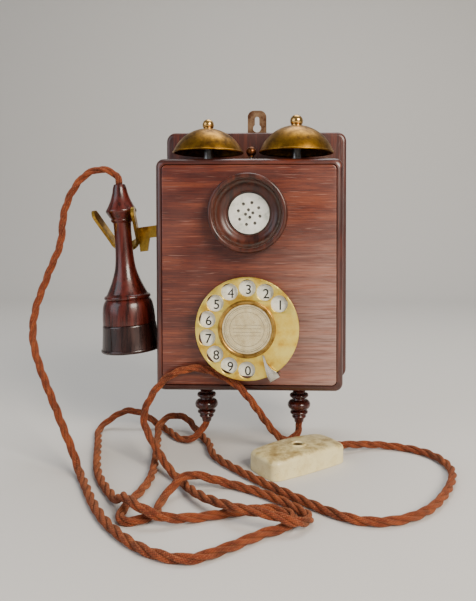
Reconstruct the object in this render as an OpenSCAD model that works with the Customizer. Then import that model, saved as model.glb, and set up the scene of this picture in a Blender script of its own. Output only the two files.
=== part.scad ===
// Wall telephone: a mahogany box on a back board, with two bells on top, a dial and a
// mouthpiece on the front, and a turned receiver on a brass hook at its left side.
// +Z is up and the front faces -Y. The origin is the centre of the hanger's keyhole, on the wall.

/* [Back board] */
// Width of the board that hangs on the wall
board_w = 152; // [150:1:156]
// Thickness of the board
board_t = 12; // [11:0.5:13]
// Height of the board above the case
board_over = 28.5; // [26:0.5:30]
// Radius of the board's upper corners
board_corner_r = 7.5; // [6:0.5:9]

/* [Case] */
// Width of the case
case_w = 141; // [140:0.5:142]
// Height of the case
case_h = 175; // [174:0.5:176]
// Depth of the case in front of the board
case_d = 60; // [60:0.5:61]
// Thickness of the case's walls
wall_t = 8; // [7.5:0.5:8.5]
// Width of the frame's edge round the front panel
panel_margin = 4.5; // [4:0.5:5]
// Radius of the case's front edges
edge_r = 4.3; // [3:0.1:4.4]

/* [Hanger] */
// Width of the hanger plate
hanger_w = 16; // [15:0.5:18]
// Thickness of the hanger plate
hanger_t = 2; // [1.5:0.5:2.5]
// Radius of the keyhole's round part
keyhole_r = 3.5; // [3.3:0.1:3.7]
// Height of the plate above the keyhole's centre
hanger_up = 15; // [13:0.5:16]

/* [Mouthpiece] */
// Radius of the turned mouthpiece cup
cup_r = 29.5; // [29:0.5:31]
// How far the cup stands out of the panel
cup_out = 12; // [11:0.5:13]
// Radius of the perforated disc
grille_r = 15.5; // [15:0.25:15.75]

/* [Dial] */
// Radius of the finger wheel
wheel_r = 38; // [37.5:0.25:38.5]
// Radius of one finger hole
finger_r = 6.2; // [6:0.1:6.4]
// Radius of the circle that the finger holes lie on
finger_ring_r = 30; // [29.5:0.25:30]
// Radius of the bezel round the centre label
bezel_r = 21.2; // [20.5:0.1:21.6]

/* [Bells] */
// Distance of each bell's axis from the middle
bell_x = 35; // [34.5:0.5:36]
// Radius of the left bell's rim
bell_left_r = 27.75; // [27:0.25:28]
// Height of the left bell
bell_left_h = 19.7; // [19:0.1:20.5]
// Radius of the right bell's rim
bell_right_r = 29.5; // [29:0.25:30]
// Height of the right bell
bell_right_h = 22; // [21.5:0.1:23]
// Thickness of the bells' metal
bell_t = 1.6; // [1.2:0.1:2]

/* [Receiver and hook] */
// Length of the receiver from its tail to its ear cap
receiver_l = 133.5; // [132:0.5:135]
// Lean of the hanging receiver, in degrees
receiver_lean = 3.86; // [3.5:0.02:4.2]
// Slope of the hook's bar under the receiver's weight, in degrees
hook_slope = 8; // [7.5:0.1:8.5]
// Half of the gap between the fork's arms
fork_gap = 9; // [8.8:0.1:9.2]
// Length of the fork's arms
fork_arm = 31; // [30:0.5:32]

/* [Cords] */
// Diameter of the twisted cords
cord_d = 5.9; // [5.6:0.1:6]

/* [Hidden] */
$fn = 64;

// Levels and depths. A depth is a distance forward from the wall.
board_top = -5;
case_top = board_top - board_over;
case_bottom = case_top - case_h;
board_bottom = case_bottom - 4;
front = board_t + case_d;
panel_t = 8;
panel_back = front - panel_t;
fit = 0.2;
axle_gap = 0.06;
mid_depth = 43;
floor_z = -258;
hanger_foot = -32;
hanger_screw_z = [-13, -25];

// Mouthpiece and transmitter
mouth_z = -74.7;
spigot_r = 24.6;

// Dial: depths of its layers, and its gears
dial_z = -159.2;
dial_body_r = 33;
dial_flange_r = 36;
flange_front = front + 8;
plate_front = flange_front + 1.4;
wheel_back = plate_front + 1.9;
wheel_front = wheel_back + 2;
dial_back = 42;
shaft_r = 4;
axle_r = 1.5;
finger_pitch = 360 / 14;
first_finger = 38.1;
finger_count = 10;
gear_module = 0.8;
main_teeth = 40;
pinion_teeth = 12;
fine_module = 0.5;
pulse_teeth = 36;
pulse_r = gear_module * (main_teeth + pinion_teeth) / 2;
pulse_angle = 200;
pulse_xy = pulse_r * [cos(pulse_angle), sin(pulse_angle)];
governor_r = fine_module * (pulse_teeth + pinion_teeth) / 2;
governor_angle = -40;
governor_xy = pulse_xy + governor_r * [cos(governor_angle), sin(governor_angle)];

// Bells and ringer
bell_rim = case_top + 7;
post_r = 3.5;
stud_r = 2.5;
hammer_x = (bell_left_r - bell_right_r) / 2;
hammer_z = bell_rim + 1.2;
hammer_r = 4;
armature_z = -73.5;

// Hook: the fork's middle, and the pivot of the lever
fork_at = [-103.7, -38.1, -93.5];
fork_t = 2.4;
fork_h = 8.5;
hook_pivot = [-46, -33, -83.3];
bar_t = 2.5;
bar_half = 4.75;

// Receiver: the top of its tail
receiver_at = [-106.5, -mid_depth, -50.7];
cap_from = 111;

// Terminal strip: the first screw, and the step to the next
terminal_at = [3, -24, -142];
terminal_step = 11;
terminal_count = 5;

// Finials and the block on the line cord
finial_x = 37;
finial_tip = -240;
block_at = [37, -86.5, floor_z];
block_turn = 38;
block_l = 66;
block_w = 36;
block_h = 15.5;

// Cord routes, from the end on the telephone. The lead is the stretch that hangs on the receiver.
lead_points = 4;
on_floor = -255;
receiver_route = [
  [-106.5, -43, -50.7], [-109, -43, -43.5], [-119, -45, -39], [-131, -48, -43], [-141, -51, -56],
  [-147, -54, -74], [-149, -57, -98], [-156, -63, -121], [-163, -72, -151], [-158, -82, -178],
  [-134, -98, -221], [-121, -107, -242], [-111, -118, -254.5], [-84, -165, on_floor],
  [-63, -193, on_floor], [-39, -214, on_floor], [-16, -221, on_floor], [2, -210, on_floor],
  [20, -194, on_floor], [33, -185, on_floor], [36, -172, on_floor], [22, -163, on_floor],
  [5, -167, on_floor], [-16, -175, on_floor], [-36, -183, -252], [-50, -183, -247],
  [-65, -170, -246], [-76, -154, -254], [-101, -112, on_floor], [-122, -52, on_floor],
  [-131, -24, on_floor], [-126, -10, -250], [-112, -9, -243], [-97, -9, -246],
  [-82, -13, on_floor], [-70, -27, on_floor], [-61, -40, on_floor], [-50, -48, -253.5],
  [-41, -47, -247], [-37, -43, finial_tip]
];
line_route = [
  [37, -43, finial_tip], [36, -45, -248], [28, -52, -252], [18, -62, -242], [-2, -77, -209],
  [-17, -77, -197], [-38, -77, -190], [-59, -77, -196], [-73, -78, -212], [-77, -81, -230],
  [-57, -105, -248.5], [-42, -123, -254.5], [-22, -155, -251], [2, -178, -247.5],
  [24, -188, -247], [39, -188, -251], [46, -175, on_floor], [38, -162, on_floor],
  [16, -142, on_floor], [-8, -130, -254], [-33, -136, -246.5], [-45, -152, -254],
  [-46, -171, on_floor], [-56, -182, on_floor], [-66, -172, on_floor], [-62, -120, on_floor],
  [-75, -50, on_floor], [-80, -25, -250], [-73, -11, -246.5], [-60, -12, -248],
  [-47, -28, -254], [-34, -52, on_floor], [-20, -86, on_floor], [34, -144, on_floor],
  [78, -177, on_floor], [117, -162, on_floor], [144, -108, on_floor], [136, -70, on_floor],
  [102, -53, -254.5], [61, -67, -250]
];

// Points on an arc of a circle, for an outline
function arc(c, r, a0, a1, n) =
  [for (i = [0:n]) let (a = a0 + (a1 - a0) * i / n) c + r * [cos(a), sin(a)]];

// One gear's outline: straight-sided teeth, with tooth 0 on the X axis
function gear_outline(teeth, m) =
  let (r = teeth * m / 2, a = 360 / teeth)
  [for (i = [0:teeth - 1]) for (p = [[-0.27, -1.1], [-0.13, 0.7], [0.13, 0.7], [0.27, -1.1]])
    let (t = (i + p[0]) * a, q = r + p[1] * m) [q * cos(t), q * sin(t)]];

// Cord tube: unit direction, a side that is carried along the route, and the rings
cord_sides = 8;
function unit(v) = v / norm(v);
function along(p, i) = unit(p[min(i + 1, len(p) - 1)] - p[max(i - 1, 0)]);
function side(p, i) =
  i == 0 ? unit(cross(along(p, 0), [0, 1, 0]))
  : let (s = side(p, i - 1), t = along(p, i)) unit(s - (s * t) * t);
function ring(p, i) =
  let (s = side(p, i), u = cross(along(p, i), s))
  [for (k = [0:cord_sides - 1])
    p[i] + cord_d / 2 * (cos(360 * k / cord_sides) * s + sin(360 * k / cord_sides) * u)];

module cord_run(route, first, last) {
  n = cord_sides;
  rings = last - first;
  points = [for (i = [first:last]) each ring(route, i)];
  walls = [for (i = [0:rings - 1]) for (k = [0:n - 1])
    [i * n + k, (i + 1) * n + k, (i + 1) * n + (k + 1) % n, i * n + (k + 1) % n]];
  start_cap = [[for (k = [0:n - 1]) k]];
  end_cap = [[for (k = [n - 1:-1:0]) rings * n + k]];
  polyhedron(points = points, faces = concat(walls, start_cap, end_cap), convexity = 10);
}

// Turns a shape so that its +Z points forward, and its Z is the depth from the wall
module facing_front(x, z) {
  translate([x, 0, z]) rotate([90, 0, 0]) children();
}

// A rectangle with round corners, centred on X and hanging below Y = 0
module round_rectangle(w, h, r) {
  translate([-w / 2, -h + r]) square([w, h - 2 * r]);
  translate([-w / 2 + r, -h]) square([w - 2 * r, h]);
  for (sx = [-1, 1], y = [-r, -h + r]) translate([sx * (w / 2 - r), y]) circle(r);
}

// A strip from X = -d to 0, whose two corners at -d are round, from Y = y0 up by h
module front_round_strip(d, y0, h, r) {
  translate([-d + r, y0]) square([d - r, h]);
  translate([-d, y0 + r]) square([2 * r, h - 2 * r]);
  for (y = [y0 + r, y0 + h - r]) translate([-d + r, y]) circle(r);
}

// A board in front of Y = 0, hanging below Z = 0, with round corners and round front edges
module soft_board(w, d, h, corner, edge) {
  intersection() {
    rotate([90, 0, 0]) linear_extrude(d) round_rectangle(w, h, corner);
    translate([0, 0, -h]) linear_extrude(h) rotate(90) front_round_strip(d, -w / 2, w, edge);
    translate([-w / 2, 0, 0]) rotate([90, 0, 90]) linear_extrude(w) front_round_strip(d, -h, h, edge);
  }
}

module back_board() {
  color("#5a2418") difference() {
    translate([0, 0, board_top])
      soft_board(board_w, board_t, board_top - board_bottom, board_corner_r, 2.5);
    translate([-hanger_w / 2 - fit, -hanger_t, hanger_foot - 1])
      cube([hanger_w + 2 * fit, hanger_t + 1, 40]);
    for (z = hanger_screw_z) facing_front(0, z) cylinder(h = 10.5, r = 2);
  }
}

module hanger_plate() {
  color("#7d5a48") facing_front(0, 0) difference() {
    linear_extrude(hanger_t) difference() {
      translate([0, hanger_up]) round_rectangle(hanger_w, hanger_up - hanger_foot, 5.5);
      circle(keyhole_r);
      translate([-2, 0]) square([4, 8]);
      translate([0, 8]) circle(2);
    }
    for (z = hanger_screw_z) translate([0, z, -0.01])
      cylinder(h = hanger_t + 0.02, r1 = 4, r2 = 2.1);
  }
}

module hanger_screws() {
  color("#8a8378") for (z = hanger_screw_z) facing_front(0, z) {
    cylinder(h = hanger_t, r1 = 3.8, r2 = 1.9);
    cylinder(h = 10, r = 1.9);
  }
}

module case_frame() {
  color("#6a2c1e") difference() {
    translate([0, -board_t, case_top]) soft_board(case_w, case_d, case_h, 6, edge_r);
    translate([-case_w / 2 + wall_t, -panel_back, case_bottom + wall_t])
      cube([case_w - 2 * wall_t, case_d, case_h - 2 * wall_t]);
    translate([0, -panel_back, case_top - panel_margin]) rotate([90, 0, 0])
      linear_extrude(panel_t + 1)
        round_rectangle(case_w - 2 * panel_margin, case_h - 2 * panel_margin, 4);
    for (sx = [-1, 1]) {
      translate([sx * bell_x, -mid_depth, case_top - wall_t - 1]) cylinder(h = wall_t + 2, r = 3);
      translate([sx * finial_x, -mid_depth, case_bottom - 1]) cylinder(h = wall_t + 2, r = 4);
    }
    translate([hammer_x - 5, -mid_depth - 4, case_top - wall_t - 1]) cube([10, 8, wall_t + 2]);
    translate([-case_w / 2 - 1, hook_pivot[1] - 3.5, -93]) cube([wall_t + 2, 7, 18]);
  }
}

module front_panel() {
  groove = 0.4;
  color("#86422f") difference() {
    translate([0, -panel_back, case_top - panel_margin - groove])
      soft_board(case_w - 2 * (panel_margin + groove), panel_t,
        case_h - 2 * (panel_margin + groove), 3.6, 0.8);
    facing_front(0, mouth_z) cylinder(h = front + 1, r = spigot_r + fit);
    facing_front(0, dial_z) cylinder(h = front + 1, r = dial_body_r + fit);
  }
}

module corner_blocks() {
  s = 12;
  color("#9a6a45") for (sx = [-1, 1], sz = [-1, 1])
    translate([
      sx * (case_w / 2 - wall_t - s / 2) - s / 2,
      -50,
      (case_top + case_bottom) / 2 + sz * (case_h / 2 - wall_t - s / 2) - s / 2
    ]) cube([s, 34, s]);
}

module mouthpiece_cup() {
  lip = front + cup_out;
  color("#3b1a12") facing_front(0, mouth_z) rotate_extrude($fn = 96)
    polygon(concat(
      [[16.2, 66], [spigot_r, 66], [spigot_r, front], [cup_r, front], [cup_r, lip - 5]],
      arc([cup_r - 2.4, lip - 2.4], 2.4, 10, 150, 6),
      [for (a = [10:10:80]) [16.8 + 7.8 * cos(a), 81.4 - 11 * sin(a)]],
      [[17.2, 70], [16.2, 70]]
    ));
}

module transmitter_grille() {
  color("#e8eadf") facing_front(0, mouth_z) difference() {
    translate([0, 0, 67.4]) cylinder(h = 1.6, r = grille_r);
    for (i = [0:7]) rotate(31 + 45 * i) translate([8.8, 0, 60]) cylinder(h = 20, r = 1.25, $fn = 24);
    for (i = [0:3]) rotate(10 + 90 * i) translate([2.8, 0, 60]) cylinder(h = 20, r = 1.25, $fn = 24);
  }
}

module transmitter_capsule() {
  color("#8e8b84") facing_front(0, mouth_z) {
    translate([0, 0, 56]) cylinder(h = 9.9, r = 22.5);
    translate([0, 0, 65]) cylinder(h = 2.3, r = 15.4);
  }
}

module transmitter_clamp() {
  color("#b08d3c") facing_front(0, mouth_z) {
    translate([-31, -5, 54]) cube([62, 10, 1.9]);
    for (sx = [-1, 1]) translate([sx * 27.5, 0, 54]) cylinder(h = panel_back - 54, r = 3);
  }
}

module dial_case() {
  color("#a5823a") facing_front(0, dial_z) difference() {
    rotate_extrude($fn = 96) polygon([
      [shaft_r + axle_gap, dial_back], [dial_body_r, dial_back], [dial_body_r, front],
      [dial_flange_r, front], [dial_flange_r, flange_front], [31.5, flange_front],
      [31.5, dial_back + 2], [shaft_r + axle_gap, dial_back + 2]
    ]);
    for (p = [pulse_xy, governor_xy]) translate([p[0], p[1], 0])
      cylinder(h = dial_back + 3, r = axle_r);
  }
}

module dial_clamp_ring() {
  color("#8e8b84") facing_front(0, dial_z) translate([0, 0, panel_back - 4]) difference() {
    cylinder(h = 4, r = 39);
    translate([0, 0, -1]) cylinder(h = 6, r = dial_body_r + 0.1);
  }
}

module number_plate() {
  color("#f0ede2") facing_front(0, dial_z) translate([0, 0, flange_front]) difference() {
    cylinder(h = plate_front - flange_front, r = 35.5);
    translate([0, 0, -1]) cylinder(h = 4, r = 6);
  }
}

module finger_stop() {
  blade = wheel_front + 0.9;
  color("#b8b5a8") facing_front(0, dial_z) rotate(-59) {
    translate([0, 0, blade]) linear_extrude(1.4) polygon([
      [42, -5], [42, 3], [37.6, 2.8], [35, 1.5], [32, 0.4], [28.3, 0], [25.5, 0.6], [23, 1.3],
      [21.6, 0.6], [22.2, -0.2], [25.5, -1.3], [29, -2.5], [33, -3.8], [37.2, -5]
    ]);
    translate([39, -5, front]) cube([3, 8, blade + 1.4 - front]);
    translate([36.4, -5, front]) cube([5, 8, 1.2]);
  }
}

module dial_axles() {
  color("#9a9a9a") facing_front(0, dial_z) for (p = [pulse_xy, governor_xy])
    translate([p[0], p[1], dial_back]) cylinder(h = 36, r = axle_r);
}

module governor_cup() {
  color("#c2a14a") facing_front(0, dial_z)
    translate([governor_xy[0], governor_xy[1], dial_back + 2]) difference() {
      cylinder(h = 13, r = 8.2);
      translate([0, 0, -1]) cylinder(h = 15, r = 7.3);
    }
}

module pulse_contacts() {
  color("#4a3a2c") facing_front(0, dial_z) {
    translate([-27, 9, dial_back + 2]) cube([5.5, 6, 30]);
    for (x = [-24.5, -26]) translate([x, -9, 69.4]) cube([0.5, 20, 3]);
  }
}

module finger_wheel() {
  color("#c9a43f") facing_front(0, dial_z) difference() {
    rotate_extrude($fn = 96) polygon([
      [shaft_r, wheel_back], [wheel_r - 1.3, wheel_back], [wheel_r - 1.3, wheel_back - 1.4],
      [wheel_r, wheel_back - 1.4], [wheel_r, wheel_front - 0.8], [wheel_r - 0.8, wheel_front],
      [shaft_r, wheel_front]
    ]);
    for (i = [0:finger_count - 1])
      rotate(first_finger + finger_pitch * i) translate([finger_ring_r, 0, wheel_back - 1])
        cylinder(h = 4, r = finger_r);
  }
}

module dial_label() {
  color("#cdbf95") facing_front(0, dial_z) translate([0, 0, wheel_front])
    cylinder(h = 0.5, r = 18.1);
}

module label_cover() {
  color("#dfe3da") facing_front(0, dial_z) rotate_extrude($fn = 96) polygon([
    [0, wheel_front + 0.6], [18.1, wheel_front + 0.6], [18.1, wheel_front + 1.2],
    [12, wheel_front + 1.8], [6, wheel_front + 2.1], [0, wheel_front + 2.2]
  ]);
}

module label_bezel() {
  color("#d8b85a") facing_front(0, dial_z) rotate_extrude($fn = 96) polygon([
    [18.3, wheel_front], [bezel_r, wheel_front], [bezel_r, wheel_front + 1],
    [bezel_r - 0.9, wheel_front + 1.9], [18.9, wheel_front + 1.9], [18.3, wheel_front + 1.4]
  ]);
}

module dial_shaft() {
  color("#9a9a9a") facing_front(0, dial_z) {
    translate([0, 0, dial_back - 1]) cylinder(h = wheel_front - dial_back + 1, r = shaft_r);
    translate([0, 0, wheel_back - 1.6]) cylinder(h = 1.6, r = 5.5);
  }
}

module dial_main_gear() {
  color("#c2a14a") facing_front(0, dial_z) translate([0, 0, 74]) difference() {
    linear_extrude(2) rotate(pulse_angle) polygon(gear_outline(main_teeth, gear_module));
    translate([0, 0, -1]) cylinder(h = 4, r = shaft_r);
  }
}

module return_spring() {
  turns = 5;
  step = 1.5;
  steps = turns * 18;
  spiral = [for (i = [0:steps]) let (a = 20 * i, r = 4.4 + step * a / 360) r * [cos(a), sin(a)]];
  outer = [for (i = [steps:-1:0]) let (a = 20 * i, r = 4.9 + step * a / 360) r * [cos(a), sin(a)]];
  color("#5b6470") facing_front(0, dial_z) translate([0, 0, 59]) linear_extrude(4)
    polygon(concat(spiral, outer));
}

module pulse_wheel() {
  color("#c2a14a") facing_front(0, dial_z) translate([pulse_xy[0], pulse_xy[1], 0]) difference() {
    union() {
      translate([0, 0, 73]) linear_extrude(4)
        rotate(pulse_angle + 180 + 180 / pinion_teeth)
          polygon(gear_outline(pinion_teeth, gear_module));
      translate([0, 0, 66]) linear_extrude(2)
        rotate(governor_angle) polygon(gear_outline(pulse_teeth, fine_module));
      translate([0, 0, 62]) cylinder(h = 14, r = 2.6);
      translate([0, 0, 69.6]) cylinder(h = 2.4, r = 3);
      translate([0, -1, 69.6]) cube([3.9, 2, 2.4]);
    }
    translate([0, 0, 60]) cylinder(h = 20, r = axle_r + axle_gap);
  }
}

module governor() {
  color("#b08d3c") facing_front(0, dial_z) translate([governor_xy[0], governor_xy[1], 0])
    difference() {
      union() {
        translate([0, 0, 65]) linear_extrude(4)
          rotate(governor_angle + 180 + 180 / pinion_teeth)
            polygon(gear_outline(pinion_teeth, fine_module));
        translate([0, 0, 46]) cylinder(h = 20, r = 2.2);
        translate([-6.3, -1, 49]) cube([12.6, 2, 4]);
        for (sx = [-1, 1]) translate([sx * 5, 0, 49]) cylinder(h = 7, r = 1.6);
      }
      translate([0, 0, 40]) cylinder(h = 40, r = axle_r + axle_gap);
    }
}

// A bell's shell is part of a sphere whose rim is at Z = 0
module bell(r, h) {
  sphere_r = (r * r + h * h) / (2 * h);
  rotate_extrude($fn = 96) difference() {
    intersection() {
      translate([0, h - sphere_r]) circle(sphere_r, $fn = 96);
      square([r + 1, h + 1]);
    }
    translate([0, h - sphere_r]) circle(sphere_r - bell_t, $fn = 96);
    translate([-1, -1]) square([1 + stud_r + 0.1, h + 2]);
  }
}

module bell_left() {
  color("#8a6a1e") translate([-bell_x, -mid_depth, bell_rim]) bell(bell_left_r, bell_left_h);
}

module bell_right() {
  color("#8a6a1e") translate([bell_x, -mid_depth, bell_rim]) bell(bell_right_r, bell_right_h);
}

// A post that is shouldered on the case's top and under the bell
module bell_post(h) {
  top = bell_rim + h;
  under = top - bell_t - 0.3;
  translate([0, 0, case_top - wall_t]) cylinder(h = wall_t + 1, r = 2.9);
  translate([0, 0, case_top]) cylinder(h = under - case_top, r = post_r);
  translate([0, 0, case_top]) cylinder(h = 1.6, r = 5.5);
  translate([0, 0, case_top]) cylinder(h = top + 3 - case_top, r = stud_r);
}

module bell_posts() {
  color("#6d6a64") {
    translate([-bell_x, -mid_depth, 0]) bell_post(bell_left_h);
    translate([bell_x, -mid_depth, 0]) bell_post(bell_right_h);
  }
}

// A ball nut that stands on the bell's crown at Z = 0
module ball_nut(r) {
  difference() {
    intersection() {
      translate([0, 0, 0.6 * r]) sphere(r);
      cylinder(h = 2 * r, r = 2 * r);
    }
    translate([0, 0, -1]) cylinder(h = 4.2, r = stud_r + 0.05);
  }
}

module bell_knob_left() {
  color("#c39a4a") translate([-bell_x, -mid_depth, bell_rim + bell_left_h]) ball_nut(4.7);
}

module bell_knob_right() {
  color("#c39a4a") translate([bell_x, -mid_depth, bell_rim + bell_right_h]) ball_nut(5.4);
}

module hammer_ball() {
  color("#7a4a2a") translate([hammer_x, -mid_depth, hammer_z]) difference() {
    sphere(hammer_r);
    translate([0, 0, -6]) cylinder(h = 7, r = 1.2);
  }
}

module hammer_rod() {
  color("#9a9a9a") translate([hammer_x, -mid_depth, armature_z + 1.5])
    cylinder(h = hammer_z + 1 - armature_z - 1.5, r = 1.2);
}

module armature() {
  color("#7b7f86") translate([hammer_x, -mid_depth, armature_z]) difference() {
    union() {
      translate([-23, -4.5, -1.5]) cube([46, 9, 3]);
      rotate([90, 0, 0]) translate([0, 0, -4.5]) cylinder(h = 9, r = 3);
    }
    rotate([90, 0, 0]) translate([0, 0, -6]) cylinder(h = 12, r = axle_r + axle_gap);
    translate([0, 0, 1.5]) cylinder(h = 4, r = 1.2);
  }
}

module armature_pivot() {
  color("#9a9a9a") translate([hammer_x, -mid_depth, armature_z]) rotate([90, 0, 0])
    translate([0, 0, -7]) cylinder(h = 14, r = axle_r);
}

module ringer_frame() {
  color("#3e3b38") difference() {
    translate([hammer_x, -mid_depth, 0]) {
      translate([-29, -7, -118]) cube([58, mid_depth - board_t + 7, 3]);
      translate([-14, mid_depth - board_t - 2, -124]) cube([28, 2, 8]);
      translate([-3, -5, -116]) cube([6, 10, 34]);
      translate([-4, -7, -84]) cube([8, 14, 2]);
      for (y = [-7, 5.4]) translate([-4, y, -84]) cube([8, 1.6, 14.5]);
    }
    translate([hammer_x, -mid_depth, armature_z]) rotate([90, 0, 0])
      translate([0, 0, -10]) cylinder(h = 20, r = axle_r);
  }
}

module ringer_coils() {
  color("#7a2f22") for (sx = [-1, 1])
    translate([hammer_x + sx * 16.5, -mid_depth, -115]) {
      cylinder(h = 1.5, r = 9.5);
      cylinder(h = 31, r = 9);
      translate([0, 0, 30]) cylinder(h = 1.5, r = 9.5);
      cylinder(h = 36.5, r = 3);
    }
}

// The fork's strip, seen along its thickness: arms up to +Y, round at the back
module fork_plan() {
  outer = fork_gap + fork_t;
  difference() {
    circle(outer);
    circle(fork_gap);
    translate([-2 * outer, 0]) square(4 * outer);
  }
  polygon([[fork_gap, -0.5], [outer, -0.5], [outer + 2, fork_arm], [fork_gap + 2, fork_arm]]);
  polygon([[-fork_gap, -0.5], [-outer, -0.5], [-outer - 7.5, fork_arm], [-fork_gap - 7.5, fork_arm]]);
}

// The fork's strip from its side, with a round end on the arms
module fork_side() {
  translate([-14, -fork_h / 2]) square([fork_arm + 14 - fork_h / 2, fork_h]);
  translate([fork_arm - fork_h / 2, 0]) circle(fork_h / 2);
}

module hook_lever() {
  color("#c9a24a") difference() {
    union() {
      translate(fork_at) rotate([135, 0, 0]) rotate([0, hook_slope, 0]) intersection() {
        translate([0, 0, -fork_h / 2]) linear_extrude(fork_h) fork_plan();
        rotate([90, 0, 90]) translate([0, 0, -25]) linear_extrude(50) fork_side();
      }
      translate(hook_pivot) rotate([90, -hook_slope, 0]) translate([0, 0, -bar_t / 2])
        linear_extrude(bar_t) polygon([
          [18, -2.6], [18, 2.6], [6, 3.2], [2, bar_half], [-47.5, bar_half],
          [-49, 0], [-49, -15], [-43, -15], [-40, -bar_half], [2, -bar_half], [6, -3.2]
        ]);
    }
    translate(hook_pivot) rotate([90, 0, 0]) translate([0, 0, -5])
      cylinder(h = 10, r = 2 + axle_gap);
  }
}

module hook_pivot_pin() {
  color("#9a9a9a") translate([hook_pivot[0], 0, hook_pivot[2]]) rotate([90, 0, 0]) {
    translate([0, 0, 16]) cylinder(h = 20.5, r = 2);
    translate([0, 0, 34.6]) cylinder(h = 1.9, r = 3.6);
  }
}

module hook_bracket() {
  color("#8e8b84") translate([hook_pivot[0], 0, hook_pivot[2]]) rotate([90, 0, 0]) difference() {
    union() {
      translate([-12, -12, board_t]) cube([24, 24, 2]);
      translate([0, 0, board_t]) cylinder(h = 19.4, r = 6);
    }
    translate([0, 0, 16]) cylinder(h = 20, r = 2);
  }
}

module hook_contacts() {
  color("#b7a06a") {
    translate([-27, -32, -76]) cube([11, 32 - board_t, 14]);
    for (i = [0:2]) translate([-45, -35.5, -75.2 + 4 * i]) cube([22, 5, 0.6]);
  }
}

module receiver_shell() {
  color("#4a170f") translate(receiver_at) rotate([0, -receiver_lean, 0]) difference() {
    rotate_extrude($fn = 72) polygon([
      [0, 0], [4.6, 0], [5.2, -1.4], [5.8, -5], [7, -10], [9.6, -16], [11.4, -20], [12, -21.6],
      [11.7, -23], [9.9, -25.8], [8.3, -27.6], [8.5, -28.8], [8.3, -30], [6.9, -31.4],
      [6.8, -50], [7.2, -60], [8.2, -67], [11, -76.5], [14.4, -84.5], [16, -87.6], [17.6, -88.6],
      [18, -90], [17.6, -91.6], [18.6, -93], [19.8, -98], [20.5, -cap_from],
      [18.4, -cap_from], [18.4, -122], [0, -122]
    ]);
    translate([0, 0, -130]) cylinder(h = 140, r = 2.95);
    translate([0, 0, -123]) cylinder(h = 23, r = 16.5);
  }
}

module receiver_cap() {
  color("#2c0f0a") translate(receiver_at) rotate([0, -receiver_lean, 0])
    rotate_extrude($fn = 72) polygon([
      [18.5, -cap_from], [20.9, -cap_from], [21.4, -119], [22.2, -127], [23, -129.4],
      [23.3, -131], [22.9, -132.6], [21.8, -receiver_l], [19.5, -receiver_l], [12, -130],
      [7.5, -129.4], [6, -128], [6, -124], [18.5, -124]
    ]);
}

module receiver_capsule() {
  color("#8e8b84") translate(receiver_at) rotate([0, -receiver_lean, 0])
    translate([0, 0, -121.8]) cylinder(h = 19, r = 16.3);
}

module receiver_diaphragm() {
  color("#5f5f63") translate(receiver_at) rotate([0, -receiver_lean, 0])
    translate([0, 0, -123.4]) cylinder(h = 1.2, r = 18.2);
}

// A turned drop with a bore for the cord, hanging from the case's underside
module finial(x) {
  z = case_bottom;
  translate([x, -mid_depth, 0]) difference() {
    rotate_extrude($fn = 64) polygon(concat(
      [[0, z], [8, z], [8, z - 4.5], [5.6, z - 6.5], [5, z - 8]],
      arc([6.2, z - 10], 1.5, 90, -90, 5),
      [[5, z - 12.6], [6, z - 14]],
      arc([5, z - 17.6], 4, 60, -60, 6),
      [[5.4, z - 22]],
      arc([6, z - 23.4], 1.2, 80, -80, 4),
      [[4.6, z - 25.2], [4.6, z - 26]],
      arc([4.6, z - 27.1], 1, 80, -80, 4),
      [[3.9, z - 28.6], [3.6, finial_tip], [0, finial_tip]]
    ));
    translate([0, 0, finial_tip - 1]) cylinder(h = 40, r = 2.95);
  }
}

module finial_left() {
  color("#4a1c12") finial(-finial_x);
}

module finial_right() {
  color("#4a1c12") finial(finial_x);
}

// Puts a shape at each terminal, with its Z pointing back to the wall
module at_terminals() {
  for (i = [0:terminal_count - 1])
    translate(terminal_at + [terminal_step * i, 0, 0]) rotate([-90, 0, 0]) children();
}

module terminal_strip() {
  color("#2b2622") difference() {
    translate(terminal_at + [-7, 0, -8])
      cube([terminal_step * (terminal_count - 1) + 14, 12, 16]);
    at_terminals() translate([0, 0, -1]) cylinder(h = 9, r = 1.5);
  }
}

module terminal_screws() {
  color("#c2a14a") at_terminals() {
    translate([0, 0, -2.4]) cylinder(h = 2.4, r = 3.2);
    translate([0, 0, -0.5]) cylinder(h = 8, r = 1.45);
  }
}

module induction_coil() {
  color("#6a2f22") translate([-14, -24, -56]) rotate([0, 90, 0]) {
    cylinder(h = 3, r = 11.8);
    cylinder(h = 62, r = 9.5);
    translate([0, 0, 59]) cylinder(h = 3, r = 11.8);
  }
}

module capacitor() {
  color("#8a8378") {
    translate([-26, -36, -198]) cube([44, 24, 34]);
    translate([-30, -15, -194]) cube([52, 3, 8]);
  }
}

module receiver_cord_lead() {
  color("#a5512f") cord_run(receiver_route, 0, lead_points);
}

module receiver_cord() {
  color("#a5512f") cord_run(receiver_route, lead_points, len(receiver_route) - 1);
}

module line_cord() {
  color("#a5512f") cord_run(line_route, 0, len(line_route) - 1);
}

// Puts a shape on the block's place on the floor
module on_block() {
  translate(block_at) rotate(block_turn) children();
}

// The block's plan: bowed sides and round corners
module block_plan(inset) {
  l = block_l / 2 - inset;
  w = block_w / 2 - inset;
  side_bow = 300;
  end_bow = 120;
  intersection() {
    translate([0, w - side_bow]) circle(side_bow, $fn = 360);
    translate([0, side_bow - w]) circle(side_bow, $fn = 360);
    translate([l - end_bow, 0]) circle(end_bow, $fn = 180);
    translate([end_bow - l, 0]) circle(end_bow, $fn = 180);
    translate([0, w]) round_rectangle(2 * l, 2 * w, 4);
  }
}

module block_base() {
  color("#2b2622") on_block() difference() {
    linear_extrude(3) block_plan(2.4);
    translate([0, 0, -1]) cylinder(h = 6, r = 2.2);
  }
}

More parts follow.
